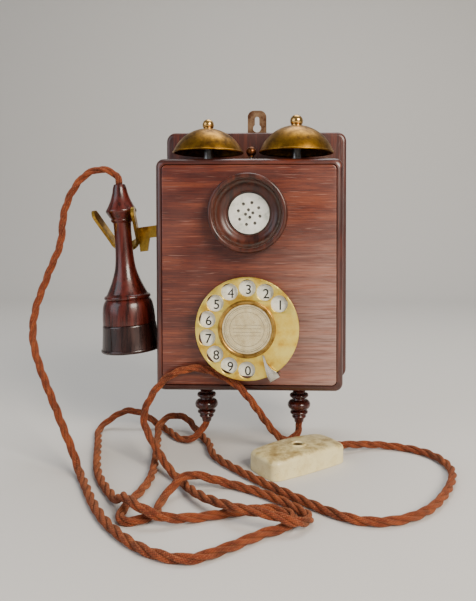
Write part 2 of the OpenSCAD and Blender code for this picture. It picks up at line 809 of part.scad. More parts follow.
module block_cover() {
  cross_crown = 160;
  long_crown = 272;
  color("#d8cfa6") on_block() difference() {
    intersection() {
      linear_extrude(block_h) block_plan(0);
      translate([-block_l, 0, block_h - cross_crown]) rotate([0, 90, 0])
        cylinder(h = 2 * block_l, r = cross_crown, $fn = 180);
      translate([0, block_l, block_h - long_crown]) rotate([90, 0, 0])
        cylinder(h = 2 * block_l, r = long_crown, $fn = 360);
    }
    translate([0, 0, -1]) linear_extrude(block_h - 4) block_plan(2.2);
    translate([0, 0, block_h - 2]) cylinder(h = 5, r = 5);
    cylinder(h = 20, r = 2.3);
    translate([block_l / 2 - 5, 0, 8]) rotate([0, 90, 0]) cylinder(h = 10, r = 3.2);
  }
}

module block_screw() {
  color("#b08d3c") on_block() {
    translate([0, 0, 1]) cylinder(h = block_h - 2, r = 1.9);
    translate([0, 0, block_h - 2]) cylinder(h = 1.5, r = 3.8);
  }
}

module block_terminals() {
  color("#c2a14a") on_block() for (x = [-18, 18], y = [-7, 7])
    translate([x, y, 3]) cylinder(h = 6, r = 3);
}

back_board();
hanger_plate();
hanger_screws();
case_frame();
front_panel();
corner_blocks();
mouthpiece_cup();
transmitter_grille();
transmitter_capsule();
transmitter_clamp();
dial_case();
dial_clamp_ring();
number_plate();
finger_stop();
dial_axles();
governor_cup();
pulse_contacts();
finger_wheel();
dial_label();
label_cover();
label_bezel();
dial_shaft();
dial_main_gear();
return_spring();
pulse_wheel();
governor();
bell_left();
bell_right();
bell_posts();
bell_knob_left();
bell_knob_right();
hammer_ball();
hammer_rod();
armature();
armature_pivot();
ringer_frame();
ringer_coils();
hook_lever();
hook_pivot_pin();
hook_bracket();
hook_contacts();
receiver_shell();
receiver_cap();
receiver_capsule();
receiver_diaphragm();
finial_left();
finial_right();
terminal_strip();
terminal_screws();
induction_coil();
capacitor();
receiver_cord_lead();
receiver_cord();
line_cord();
block_base();
block_cover();
block_screw();
block_terminals();
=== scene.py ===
"""A wooden wall telephone with a rotary dial, put together piece by piece round its CAD frame."""
import math

import bmesh
import bpy
from mathutils import Matrix, Vector


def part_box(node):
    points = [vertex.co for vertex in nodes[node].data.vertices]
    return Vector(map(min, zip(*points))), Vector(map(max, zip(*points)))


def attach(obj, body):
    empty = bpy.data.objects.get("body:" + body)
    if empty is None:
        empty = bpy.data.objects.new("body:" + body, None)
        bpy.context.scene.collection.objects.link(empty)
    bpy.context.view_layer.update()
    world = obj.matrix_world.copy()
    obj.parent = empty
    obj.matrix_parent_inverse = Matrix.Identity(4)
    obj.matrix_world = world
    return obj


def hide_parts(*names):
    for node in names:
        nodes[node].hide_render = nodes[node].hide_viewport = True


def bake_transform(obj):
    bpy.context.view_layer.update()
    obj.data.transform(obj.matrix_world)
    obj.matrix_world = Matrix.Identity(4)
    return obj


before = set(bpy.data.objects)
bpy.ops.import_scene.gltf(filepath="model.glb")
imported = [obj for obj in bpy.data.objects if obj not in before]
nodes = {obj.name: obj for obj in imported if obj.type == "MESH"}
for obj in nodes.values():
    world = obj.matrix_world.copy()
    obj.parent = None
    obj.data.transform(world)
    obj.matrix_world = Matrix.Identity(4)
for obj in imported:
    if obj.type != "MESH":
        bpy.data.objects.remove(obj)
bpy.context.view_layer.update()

# --- Camera and studio ---------------------------------------------------------------------
# The camera stands a little to the right of the telephone, at the mouthpiece's height.
# Soft light comes from the upper right, as a window or a large lamp would give.

MM = 0.001
FLOOR_Z = -258 * MM

camera_data = bpy.data.cameras.new("camera")
camera = bpy.data.objects.new("camera", camera_data)
bpy.context.scene.collection.objects.link(camera)
bpy.context.scene.camera = camera
camera_data.lens = 36.72
camera_data.shift_x = -0.0885
camera_data.shift_y = -0.0931
camera_data.clip_start = 0.01
camera.location = Vector((47.7, -528.4, -85.9)) * MM
camera.rotation_euler = (math.radians(88.5), 0, math.radians(2))


def linear(hex_colour):
    """An sRGB hex colour as linear RGBA"""
    parts = [int(hex_colour[i:i + 2], 16) / 255 for i in (1, 3, 5)]
    return [c / 12.92 if c <= 0.04045 else ((c + 0.055) / 1.055) ** 2.4 for c in parts] + [1.0]


def new_material(name, colour, **values):
    """A material with one Principled shader; a value is named as its socket, with _ for a space"""
    material = bpy.data.materials.new(name)
    material.use_nodes = True
    shader = material.node_tree.nodes["Principled BSDF"]
    shader.inputs["Base Color"].default_value = linear(colour)
    for socket, value in values.items():
        shader.inputs[socket.replace("_", " ")].default_value = value
    return material


def add_node(material, kind, inputs=None, stops=(), feeds=None, output=0, **settings):
    """Adds a shader node and returns its outputs. inputs are values or other nodes' outputs,
    stops are a ramp's (place, colour) pairs, and feeds names the shader socket that its
    output drives."""
    tree = material.node_tree
    made = tree.nodes.new("ShaderNode" + kind)
    for setting, value in settings.items():
        setattr(made, setting, value)
    for i, (place, colour) in enumerate(stops):
        ramp = made.color_ramp.elements
        stop = ramp[i] if i < len(ramp) else ramp.new(place)
        stop.position = place
        stop.color = linear(colour)
    for socket, value in (inputs or {}).items():
        if isinstance(value, bpy.types.NodeSocket):
            tree.links.new(value, made.inputs[socket])
        else:
            made.inputs[socket].default_value = value
    if feeds:
        tree.links.new(made.outputs[output], tree.nodes["Principled BSDF"].inputs[feeds])
    return made.outputs


def new_object(name, vertices, faces, sharp=35):
    """A closed mesh object; edges that turn more than the sharp angle stay sharp"""
    mesh = bpy.data.meshes.new(name)
    mesh.from_pydata([tuple(v) for v in vertices], [], faces)
    shaper = bmesh.new()
    shaper.from_mesh(mesh)
    bmesh.ops.remove_doubles(shaper, verts=shaper.verts, dist=1e-7)
    bmesh.ops.recalc_face_normals(shaper, faces=shaper.faces)
    shaper.to_mesh(mesh)
    shaper.free()
    mesh.shade_smooth()
    mesh.set_sharp_from_angle(angle=math.radians(sharp))
    made = bpy.data.objects.new(name, mesh)
    bpy.context.scene.collection.objects.link(made)
    return made


def area_light(name, place, size, power, colour):
    """A soft square light that faces the telephone"""
    data = bpy.data.lights.new(name, "AREA")
    data.size = size
    data.energy = power
    data.color = linear(colour)[:3]
    light = bpy.data.objects.new(name, data)
    bpy.context.scene.collection.objects.link(light)
    light.location = place
    aim = Vector((0, -0.05, -0.13)) - Vector(place)
    light.rotation_euler = aim.to_track_quat("-Z", "Y").to_euler()


area_light("key_light", (0.8, -1.05, 0.55), 0.6, 27, "#fff3e4")
area_light("fill_light", (-1.2, -0.9, 0.4), 1.1, 8, "#eef3ff")
area_light("top_light", (0.1, 0.35, 1.1), 0.9, 9, "#ffffff")

world = bpy.data.worlds.new("studio")
bpy.context.scene.world = world
world.use_nodes = True
world.node_tree.nodes["Background"].inputs["Color"].default_value = linear("#dcdee2")
world.node_tree.nodes["Background"].inputs["Strength"].default_value = 0.32

# Matt paper that runs back over the floor and curves up behind, a little uneven to the eye.
studio_paper = new_material("matt_studio_paper", "#d9d7d2", Roughness=0.85)
paper_tooth = add_node(studio_paper, "TexNoise", {"Scale": 900.0, "Detail": 2.0})
add_node(
    studio_paper, "Bump", {"Height": paper_tooth["Fac"], "Strength": 0.08, "Distance": 0.0005},
    feeds="Normal")
sweep_r = 0.45
sweep = [(-2.2, 0.0)]
sweep += [
    (0.9 + sweep_r * math.sin(a), sweep_r - sweep_r * math.cos(a))
    for a in [math.radians(5 * i) for i in range(19)]]
sweep += [(0.9 + sweep_r, 2.6)]
studio_floor = new_object(
    "studio_floor",
    [(x, y, FLOOR_Z + z) for y, z in sweep for x in (-2.6, 2.6)],
    [(2 * i, 2 * i + 1, 2 * i + 3, 2 * i + 2) for i in range(len(sweep) - 1)], sharp=60)
studio_floor.data.materials.append(studio_paper)

# --- Back board ----------------------------------------------------------------------------
# A mahogany plank with its front edges rounded over, french polished, that hangs flat on the
# wall. The case is screwed to it from behind.


def rounded_outline(width, height, corner, steps=7):
    """Points round a rectangle with round corners, centred on the origin, anticlockwise"""
    points = []
    for sx, sy, start in ((1, -1, -90), (1, 1, 0), (-1, 1, 90), (-1, -1, 180)):
        for i in range(steps + 1):
            a = math.radians(start + 90 * i / steps)
            points.append((
                sx * (width / 2 - corner) + corner * math.cos(a),
                sy * (height / 2 - corner) + corner * math.sin(a)))
    return points


def loft(name, rings, sharp=35, closed=False):
    """A skin over rings with equally many points, capped at its ends or closed on itself"""
    count = len(rings[0])
    last = len(rings) if closed else len(rings) - 1
    faces = []
    for i in range(last):
        j = (i + 1) % len(rings)
        for k in range(count):
            n = (k + 1) % count
            faces.append((i * count + k, i * count + n, j * count + n, j * count + k))
    if not closed:
        faces.append(tuple(range(count)))
        faces.append(tuple(last * count + k for k in range(count)))
    return new_object(name, [p for ring in rings for p in ring], faces, sharp)


def board_rings(low, high, corner, levels):
    """Rounded rectangles over a board's face, one for each (inset, depth) level"""
    rings = []
    for inset, depth in levels:
        outline = rounded_outline(
            high.x - low.x - 2 * inset, high.z - low.z - 2 * inset, corner - 0.45 * inset)
        rings.append([
            ((high.x + low.x) / 2 + x, -depth, (high.z + low.z) / 2 + z) for x, z in outline])
    return rings


def rounded_over(front, radius, steps=6):
    """(inset, depth) levels from a board's side to its face, along a rounded edge"""
    turns = [math.radians(90 * i / steps) for i in range(steps + 1)]
    return [
        (radius * (1 - math.cos(a)), front - radius * (1 - math.sin(a))) for a in turns]


# French-polished mahogany. The eye sees a ribbon figure about 7 mm wide, fine grain of 0.9 mm,
# dark open pores 0.5 mm by 6 mm, drawn a little coarse, and a thin hazy polish.
def mahogany(name, along, dark, middle, light, pores=0.5, haze=0.25, polish=0.35):
    material = new_material(
        name, middle, Roughness=0.4, IOR=1.5, Coat_Weight=polish, Coat_Roughness=0.18)
    place = add_node(material, "TexCoord")["Object"]
    masks = {}
    for what, length, width, detail in (
            ("figure", 90, 7, 3.0), ("grain", 26, 0.9, 3.0), ("pore", 6, 0.5, 1.0)):
        scale = [1 / (width * MM)] * 3
        scale["XYZ".index(along)] = 1 / (length * MM)
        stretched = add_node(material, "Mapping", {"Vector": place, "Scale": scale})
        masks[what] = add_node(
            material, "TexNoise",
            {"Vector": stretched["Vector"], "Scale": 1.0, "Detail": detail})["Fac"]
    blended = add_node(
        material, "Mix", {0: 0.42, 2: masks["figure"], 3: masks["grain"]}, data_type="FLOAT")
    body = add_node(
        material, "ValToRGB", {"Fac": blended[0]},
        stops=((0.34, dark), (0.5, middle), (0.62, light)))
    pore_mask = add_node(
        material, "MapRange",
        {"Value": masks["pore"], "From Min": 0.6, "From Max": 0.72, "To Max": pores})
    pored = add_node(
        material, "Mix", {0: pore_mask[0], 6: body["Color"], 7: linear("#1c0a06")},
        data_type="RGBA")
    clouds = add_node(material, "TexNoise", {"Vector": place, "Scale": 26.0, "Detail": 4.0})
    haze_mask = add_node(
        material, "MapRange",
        {"Value": clouds["Fac"], "From Min": 0.42, "From Max": 0.72, "To Max": haze})
    add_node(
        material, "Mix", {0: haze_mask[0], 6: pored[2], 7: linear("#a87464")},
        data_type="RGBA", feeds="Base Color", output=2)
    add_node(
        material, "MapRange",
        {"Value": clouds["Fac"], "From Min": 0.3, "From Max": 0.75, "To Min": 0.3,
         "To Max": 0.5}, feeds="Roughness")
    relief = add_node(
        material, "Math", {0: masks["grain"], 1: pore_mask[0]}, operation="SUBTRACT")
    add_node(
        material, "Bump", {"Height": relief[0], "Strength": 0.25, "Distance": 0.0003},
        feeds="Normal")
    return material


def settle(piece, material, body, slot, *stands_for):
    """Gives a piece its material and the body it rides on, and hides the frame nodes it stands
    for; the slot is not used
    """
    piece.data.materials.append(material)
    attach(piece, body)
    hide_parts(*stands_for)


def cut(piece, *cutters):
    """Cuts closed shapes out of a piece"""
    for cutter in cutters:
        saw = piece.modifiers.new("cut", "BOOLEAN")
        saw.object = cutter
        saw.solver = "EXACT"
    baked = bpy.data.meshes.new_from_object(
        piece.evaluated_get(bpy.context.evaluated_depsgraph_get()))
    piece.modifiers.clear()
    piece.data = baked
    piece.data.set_sharp_from_angle(angle=math.radians(35))
    for cutter in cutters:
        bpy.data.objects.remove(cutter)


def box_cutter(low, high):
    """A closed box between two corners, to cut with"""
    corners = [(x, y, z) for x in (low[0], high[0]) for y in (low[1], high[1])
               for z in (low[2], high[2])]
    sides = [(0, 1, 3, 2), (4, 6, 7, 5), (0, 4, 5, 1), (2, 3, 7, 6), (0, 2, 6, 4), (1, 5, 7, 3)]
    return new_object("cutter", corners, sides)


board_low, board_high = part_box("back_board")
board_front = -board_low.y
board_levels = [(0.6 * MM, 0.0), (0.0, 0.6 * MM)] + rounded_over(board_front, 3 * MM)
back_board = loft(
    "back_board_plank", board_rings(board_low, board_high, 7.5 * MM, board_levels))
# A recess in the back takes the hanger's plate, and runs out at the board's top edge.
plate_low, plate_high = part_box("hanger_plate")
recess_top = 7 * MM
recess_play = 0.2 * MM
cut(back_board, box_cutter(
    (plate_low.x - recess_play, plate_low.y, plate_low.z - 1 * MM),
    (plate_high.x + recess_play, 1 * MM, recess_top)))
board_wood = mahogany(
    "french_polished_mahogany_board", "Z", "#240a05", "#40170d", "#5e2817", haze=0.06)
settle(back_board, board_wood, "case", "mahogany_board", "back_board")

# --- Hanger ----------------------------------------------------------------------------------
# A small plate with a keyhole, let into the board's back and held by two countersunk screws.
# It is brass, browned by a century of handling.


# Aged brass. It looks gold where it is rubbed and brown or olive where it is tarnished, in
# clouds 8 mm across, with 0.4 mm specks, and it is dull in the dirt and brighter where worn.
def aged_brass(name, bright, dull, worn=0.5, gloss=0.3, specks=0.4):
    material = new_material(name, bright, Metallic=1.0, Roughness=gloss)
    place = add_node(material, "TexCoord")["Object"]
    clouds = add_node(
        material, "TexNoise",
        {"Vector": place, "Scale": 1 / (8 * MM), "Detail": 5.0, "Roughness": 0.62})
    fine = add_node(
        material, "TexNoise", {"Vector": place, "Scale": 1 / (0.4 * MM), "Detail": 1.0})
    tarnish = add_node(
        material, "ValToRGB", {"Fac": clouds["Fac"]},
        stops=((worn - 0.14, bright), (worn + 0.16, dull)))
    speck = add_node(
        material, "MapRange",
        {"Value": fine["Fac"], "From Min": 0.62, "From Max": 0.72, "To Max": specks})
    add_node(
        material, "Mix", {0: speck[0], 6: tarnish["Color"], 7: linear("#2b1c0a")},
        data_type="RGBA", feeds="Base Color", output=2)
    add_node(
        material, "MapRange",
        {"Value": clouds["Fac"], "From Min": worn - 0.2, "From Max": worn + 0.2,
         "To Min": gloss, "To Max": gloss + 0.22}, feeds="Roughness")
    add_node(
        material, "Bump", {"Height": fine["Fac"], "Strength": 0.05, "Distance": 0.0001},
        feeds="Normal")
    return material


def finish_nodes(material, *names, edge=0.0):
    """Gives frame nodes a material, and breaks their sharp edges by the edge's width"""
    for name in names:
        nodes[name].data.materials.clear()
        nodes[name].data.materials.append(material)
        if edge:
            breaker = nodes[name].modifiers.new("broken_edge", "BEVEL")
            breaker.width = edge
            breaker.segments = 2
            breaker.limit_method = "ANGLE"
            breaker.angle_limit = math.radians(40)


finish_nodes(aged_brass("browned_brass", "#a98a6a", "#5a3a2a", 0.46, 0.38), "hanger_plate",
             edge=0.25 * MM)
screw_steel = aged_brass("rusted_screw_steel", "#8a8378", "#4a3a30", 0.5, 0.45)
finish_nodes(screw_steel, "hanger_screws")

# --- Case ------------------------------------------------------------------------------------
# A mahogany frame, dovetailed at its corners, whose front edge is rounded over in front of the
# panel that is let into it. Its ends are end grain, and pine blocks are glued in its corners.


def lathe(name, profile, place, closed=False, segments=96, sharp=35):
    """Turns a profile of (radius, height) points in metres about the Z axis of its place"""
    rings = []
    for radius, height in profile:
        rings.append([
            place @ Vector((
                radius * math.cos(math.tau * k / segments),
                radius * math.sin(math.tau * k / segments), height))
            for k in range(segments)])
    return loft(name, rings, sharp, closed)


def facing_front(x, z):
    """A place on the wall whose Z axis points forward"""
    return Matrix.Translation((x, 0, z)) @ Matrix.Rotation(math.radians(90), 4, "X")


case_low, case_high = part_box("case_frame")
case_front = -case_low.y
case_back = -case_high.y
case_edge = 4.3 * MM
panel_inset = 4.5 * MM
panel_low, panel_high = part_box("front_panel")
panel_back = -panel_high.y
wall = 8 * MM
case_levels = [(0.4 * MM, case_back), (0.0, case_back + 0.4 * MM)]
case_levels += rounded_over(case_front, case_edge, 9)
case_levels += [(panel_inset, case_front - 0.25 * MM), (panel_inset, panel_back)]
case_levels += [(wall, panel_back), (wall, case_back)]
case_frame = loft(
    "case_frame_mahogany", board_rings(case_low, case_high, 6 * MM, case_levels), closed=True)
# The hammer's rod comes up through one slot, and the hook's bar out through the other.
hammer_mid = (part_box("hammer_rod")[0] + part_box("hammer_rod")[1]) / 2
hammer_slot = Vector((5, 4, 10)) * MM
slot_mid = Vector((hammer_mid.x, hammer_mid.y, case_high.z))
hook_slot_y = (-36.5 * MM, -29.5 * MM)
hook_slot_z = (-93 * MM, -75 * MM)
through = 10 * MM
cut(
    case_frame,
    box_cutter(slot_mid - hammer_slot, slot_mid + hammer_slot),
    box_cutter(
        (case_low.x - through, hook_slot_y[0], hook_slot_z[0]),
        (case_low.x + through, hook_slot_y[1], hook_slot_z[1])))
frame_browns = ("#230a05", "#3d150b", "#642a17")
case_wood = mahogany(
    "french_polished_mahogany_frame", "Z", *frame_browns, haze=0.06, polish=0.5)
cross_wood = mahogany(
    "french_polished_mahogany_rail", "X", *frame_browns, haze=0.06, polish=0.5)
settle(case_frame, case_wood, "case", "mahogany_frame", "case_frame")
case_frame.data.materials.append(cross_wood)
for face in case_frame.data.polygons:
    across = abs(face.center.z - (case_low.z + case_high.z) / 2) > (
        case_high.z - case_low.z) / 2 - wall
    if across and abs(face.normal.x) < 0.7:
        face.material_index = 1
finish_nodes(mahogany("sawn_pine", "Y", "#a5794c", "#b98a5a", "#c99c6c", 0.1, 0.0, 0.0),
             "corner_blocks", edge=0.5 * MM)

# --- Front panel -----------------------------------------------------------------------------
# A mahogany board with its grain across, let into the frame with a fine groove round it. Fine
# scratches run through its polish, and its lower right is painted paler in horizontal streaks: a
# painted sheen of reflected light.

panel_levels = [(0.0, panel_back), (0.0, panel_back + 1 * MM)]
panel_levels += rounded_over(case_front, 0.8 * MM, 4)
front_panel = loft(
    "front_panel_mahogany", board_rings(panel_low, panel_high, 3.6 * MM, panel_levels))
cup_low, cup_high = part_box("mouthpiece_cup")
mouth_z = (cup_low.z + cup_high.z) / 2
wheel_low, wheel_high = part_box("finger_wheel")
dial_z = (wheel_low.z + wheel_high.z) / 2
mouth = facing_front(0, mouth_z)
dial = facing_front(0, dial_z)
cut(
    front_panel,
    lathe("cutter", [(24.8 * MM, 50 * MM), (24.8 * MM, 90 * MM)], mouth),
    lathe("cutter", [(33.2 * MM, 50 * MM), (33.2 * MM, 90 * MM)], dial))
panel_wood = mahogany(
    "french_polished_mahogany_panel", "X", "#3a120a", "#5a2314", "#7c3c22", 0.6, 0.1, 0.3)
settle(front_panel, panel_wood, "case", "mahogany_panel", "front_panel")
# Fine scratches through the polish, 0.25 mm wide, each a slanted stroke that comes and goes.
panel_place = add_node(panel_wood, "TexCoord")["Object"]
slanted = add_node(
    panel_wood, "Mapping",
    {"Vector": panel_place, "Rotation": (0, math.radians(24), 0), "Scale": (60, 1, 1400)})
strokes = add_node(
    panel_wood, "TexNoise", {"Vector": slanted["Vector"], "Scale": 1.0, "Detail": 0.0})
scratch = add_node(
    panel_wood, "MapRange",
    {"Value": strokes["Fac"], "From Min": 0.7, "From Max": 0.78, "To Max": 0.25})
panel_shader = panel_wood.node_tree.nodes["Principled BSDF"]
add_node(
    panel_wood, "Mix",
    {0: scratch[0], 6: panel_shader.inputs["Base Color"].links[0].from_socket,
     7: linear("#c79a88")}, data_type="RGBA", feeds="Base Color", output=2)
# Painted sheen: a pale patch of reflected light grows to the right over 75 mm and down over 80 mm,
# in streaks 1.1 mm high.
panel_xyz = add_node(panel_wood, "SeparateXYZ", {"Vector": panel_place})
sheen_rightward = add_node(
    panel_wood, "MapRange",
    {"Value": panel_xyz["X"], "From Min": -10 * MM, "From Max": 65 * MM, "To Max": 0.5})
sheen_downward = add_node(
    panel_wood, "MapRange",
    {"Value": panel_xyz["Z"], "From Min": -70 * MM, "From Max": -150 * MM})
sheen_spread = add_node(
    panel_wood, "Math", {0: sheen_rightward[0], 1: sheen_downward[0]}, operation="MULTIPLY")[0]
sheen_place = add_node(
    panel_wood, "Mapping",
    {"Vector": panel_place, "Scale": (1 / (22 * MM), 1 / (22 * MM), 1 / (1.1 * MM))})
sheen_streaks = add_node(
    panel_wood, "TexNoise",
    {"Vector": sheen_place["Vector"], "Scale": 1.0, "Detail": 3.0, "Roughness": 0.6})
sheen_amount = add_node(
    panel_wood, "MapRange",
    {"Value": sheen_streaks["Fac"], "From Min": 0.3, "From Max": 0.6, "To Min": 0.25})
painted_sheen_mask = add_node(
    panel_wood, "Math", {0: sheen_spread, 1: sheen_amount[0]}, operation="MULTIPLY")[0]
# Mixes the painted sheen's pale colour over the wood.
add_node(
    panel_wood, "Mix",
    {0: painted_sheen_mask, 6: panel_shader.inputs["Base Color"].links[0].from_socket,
     7: linear("#c9a698")}, data_type="RGBA", feeds="Base Color", output=2)

# --- Transmitter -----------------------------------------------------------------------------
# A deep cup turned from dark stained wood and polished bright, plugged into the panel. White
# enamelled metal with twelve holes closes its throat, and the carbon capsule sits behind.


def arc(centre, radius, start, end, steps):
    """Points on an arc of a circle, from a start to an end angle in degrees"""
    angles = [math.radians(start + (end - start) * i / steps) for i in range(steps + 1)]
    return [
        (centre[0] + radius * math.cos(a), centre[1] + radius * math.sin(a)) for a in angles]


def in_mm(points):
    """Points in millimetres as metres"""
    return [tuple(c * MM for c in p) for p in points]


# Stained and polished hardwood: dark brown, with grain 4 mm wide that runs 40 mm, and a fine
# unevenness of 0.7 mm under a hard gloss.
def ebonised(name, dark, light, gloss=0.22, polish=0.35):
    material = new_material(
        name, dark, Roughness=gloss, IOR=1.5, Coat_Weight=polish, Coat_Roughness=0.08)
    place = add_node(material, "TexCoord")["Object"]
    scale = (1 / (4 * MM), 1 / (4 * MM), 1 / (40 * MM))
    stretched = add_node(material, "Mapping", {"Vector": place, "Scale": scale})
    grain = add_node(
        material, "TexNoise",
        {"Vector": stretched["Vector"], "Scale": 1.0, "Detail": 5.0, "Roughness": 0.6})
    add_node(
        material, "ValToRGB", {"Fac": grain["Fac"]}, stops=((0.35, dark), (0.68, light)),
        feeds="Base Color")
    fine = add_node(
        material, "TexNoise", {"Vector": place, "Scale": 1 / (0.7 * MM), "Detail": 2.0})
    add_node(
        material, "MapRange",
        {"Value": grain["Fac"], "From Min": 0.3, "From Max": 0.7, "To Min": gloss - 0.04,
         "To Max": gloss + 0.12}, feeds="Roughness")
    add_node(
        material, "Bump", {"Height": fine["Fac"], "Strength": 0.02, "Distance": 0.0002},
        feeds="Normal")
    return material


cup_r = (cup_high.x - cup_low.x) / 2 / MM
lip = -cup_low.y / MM
cup_profile = [(16.2, 66), (24.5, 66), (24.6, 66.4), (24.6, 72.02)]
cup_profile += [(cup_r - 0.4, 72.02), (cup_r, 72.5)]
cup_profile += arc((cup_r - 2, lip - 2), 2, 0, 175, 14)
cup_profile += [
    (17 + 8.3 * math.sin(math.radians(a)), 80.9 - 9.9 * math.cos(math.radians(a)))
    for a in range(84, 0, -6)]
cup_profile += [(17.0, 70.6), (16.6, 70.0), (16.2, 69.9)]
mouthpiece = lathe("mouthpiece_cup_turned", in_mm(cup_profile), mouth, closed=True, segments=128)
cup_wood = ebonised("ebonised_cup", "#250c05", "#582410", 0.32, 0.1)
settle(mouthpiece, cup_wood, "case", "ebonised_wood", "mouthpiece_cup")


def plate(name, outlines, back, front, place, bevel):
    """A flat plate with holes: the first outline is its edge, and its edges are bevelled"""
    curve = bpy.data.curves.new(name, "CURVE")
    curve.dimensions = "2D"
    curve.fill_mode = "BOTH"
    curve.extrude = (front - back) / 2 - bevel
    curve.bevel_depth = bevel
    curve.bevel_resolution = 2
    curve.offset = -bevel
    for outline in outlines:
        spline = curve.splines.new("POLY")
        spline.points.add(len(outline) - 1)
        spline.use_cyclic_u = True
        for point, (x, y) in zip(spline.points, outline):
            point.co = (x, y, 0, 1)
    holder = bpy.data.objects.new("plate_curve", curve)
    bpy.context.scene.collection.objects.link(holder)
    mesh = bpy.data.meshes.new_from_object(
        holder.evaluated_get(bpy.context.evaluated_depsgraph_get()))
    bpy.data.objects.remove(holder)
    mesh.transform(place @ Matrix.Translation((0, 0, (front + back) / 2)))
    mesh.materials.clear()
    made = new_object(
        name, [v.co for v in mesh.vertices], [tuple(p.vertices) for p in mesh.polygons], 30)
    return made


def ring_of(radius, centre=(0.0, 0.0), points=64):
    """A circle's points, in metres"""
    return arc(centre, radius, 0, 360 * (points - 1) / points, points - 1)


def on_ring(radius, degrees):
    """The point at an angle on a circle about the origin"""
    return radius * math.cos(math.radians(degrees)), radius * math.sin(math.radians(degrees))


grille_r = 15.5 * MM
sound_holes = [on_ring(8.4 * MM, 31 + 45 * i) for i in range(8)]
sound_holes += [on_ring(2.8 * MM, 10 + 90 * i) for i in range(4)]
grille = plate(
    "transmitter_grille_disc",
    [ring_of(grille_r, points=96)] + [ring_of(1.2 * MM, c, 20) for c in sound_holes],
    67.4 * MM, 69.3 * MM, mouth, 0.3 * MM)
# Vitreous enamel, white and glossy, greyed by breath in clouds 6 mm wide and crazed finely.
enamel = new_material("white_enamel", "#e9ebe0", Roughness=0.22, IOR=1.5, Coat_Weight=0.4)
enamel_place = add_node(enamel, "TexCoord")["Object"]
breath = add_node(
    enamel, "TexNoise", {"Vector": enamel_place, "Scale": 1 / (6 * MM), "Detail": 5.0})
add_node(
    enamel, "ValToRGB", {"Fac": breath["Fac"]},
    stops=((0.3, "#c9cec0"), (0.46, "#ebede2"), (0.64, "#f7f8f0")), feeds="Base Color")
add_node(
    enamel, "Bump", {"Height": breath["Fac"], "Strength": 0.08, "Distance": 0.0003},
    feeds="Normal")
settle(grille, enamel, "case", "white_enamel", "transmitter_grille")

# Spun zinc, dull grey with soft clouds and a brushed look.
zinc = aged_brass("dull_zinc", "#9c9a94", "#6f6c66", 0.5, 0.42, 0.2)
finish_nodes(zinc, "transmitter_capsule", edge=0.5 * MM)

# --- Dial ------------------------------------------------------------------------------------
# A brass case sunk into the panel, a white enamelled number plate, and a lacquered brass finger
# wheel with ten holes that runs over it. The nickelled finger stop is screwed to the case.

dial_case = lathe("dial_case_spun", in_mm([
    (4.1, 42), (32.6, 42), (33, 42.4), (33, 72), (35.2, 72), (36, 72.6), (36, 78.4), (35.4, 80),
    (31.5, 80), (31.5, 44), (4.1, 44)]), dial, closed=True)
cased_brass = aged_brass("spun_brass", "#b08c3e", "#6b4e1e", 0.5, 0.35)
settle(dial_case, cased_brass, "case", "gear_brass", "dial_case")

plate_front = -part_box("number_plate")[0].y
number_plate = lathe("number_plate_enamelled", in_mm([
    (6, 80), (35.1, 80), (35.5, 80.4), (35.5, 81), (35.1, 81.4), (6, 81.4)]), dial, closed=True)
settle(number_plate, enamel, "case", "white_enamel", "number_plate")

# Black enamel numerals, 7 mm tall, fired onto the plate under each finger hole. All but the 4
# are drawn a little bolder than the font; its small counter would close.
hole_ring = 30 * MM
hole_angles = [38.1 + 360 / 14 * i for i in range(10)]
numeral_height = 7 * MM
numeral_shift = Vector((0.5, -1.3)) * MM
numeral_font = bpy.data.curves.new("numeral", "FONT")
numeral_font.align_x = "CENTER"
numeral_font.size = 0.01
numeral_font.extrude = 0.0002
numeral_holder = bpy.data.objects.new("numeral", numeral_font)
bpy.context.scene.collection.objects.link(numeral_holder)
numeral_points, numeral_faces = [], []
for digit, angle in zip("1234567890", hole_angles):
    numeral_font.body = digit
    numeral_font.offset = 0.0 if digit == "4" else 0.00008
    bpy.context.view_layer.update()
    drawn = bpy.data.meshes.new_from_object(
        numeral_holder.evaluated_get(bpy.context.evaluated_depsgraph_get()))
    tops = [v.co.y for v in drawn.vertices]
    sides = [v.co.x for v in drawn.vertices]
    grow = numeral_height / (max(tops) - min(tops))
    x, y = on_ring(hole_ring, angle)
    start = len(numeral_points)
    for v in drawn.vertices:
        numeral_points.append(dial @ Vector((
            x + numeral_shift.x + grow * (v.co.x - (max(sides) + min(sides)) / 2),
            y + numeral_shift.y + grow * (v.co.y - (max(tops) + min(tops)) / 2),
            plate_front + (0.09 * MM if v.co.z > 0 else -0.05 * MM))))
    numeral_faces += [tuple(start + i for i in p.vertices) for p in drawn.polygons]
bpy.data.objects.remove(numeral_holder)
numerals = new_object("number_plate_numerals", numeral_points, numeral_faces)
black_enamel = new_material("black_enamel", "#141311", Roughness=0.3, IOR=1.5)
add_node(
    black_enamel, "ValToRGB",
    {"Fac": add_node(black_enamel, "TexNoise", {"Scale": 1 / (1.5 * MM)})["Fac"]},
    stops=((0.4, "#0d0c0b"), (0.7, "#2b2924")), feeds="Base Color")
settle(numerals, black_enamel, "case", "white_enamel")

# Lacquered brass sheet, satin, brushed across in lines 0.35 mm apart, with lacquer that has
# turned orange in patches 12 mm wide round the holes where fingers rub.
dial_brass = new_material("lacquered_dial_brass", "#e8c650", Metallic=0.85, Roughness=0.38)
dial_place = add_node(dial_brass, "TexCoord")["Object"]
patches = add_node(
    dial_brass, "TexNoise",
    {"Vector": dial_place, "Scale": 1 / (12 * MM), "Detail": 4.0, "Roughness": 0.6})
add_node(
    dial_brass, "ValToRGB", {"Fac": patches["Fac"]},
    stops=((0.34, "#d9a53c"), (0.46, "#f0cf58"), (0.64, "#fbe47a")), feeds="Base Color")
brushed_place = add_node(
    dial_brass, "Mapping",
    {"Vector": dial_place, "Scale": (1 / (14 * MM), 1 / (14 * MM), 1 / (0.35 * MM))})
brushed = add_node(
    dial_brass, "TexNoise", {"Vector": brushed_place["Vector"], "Scale": 1.0, "Detail": 1.0})
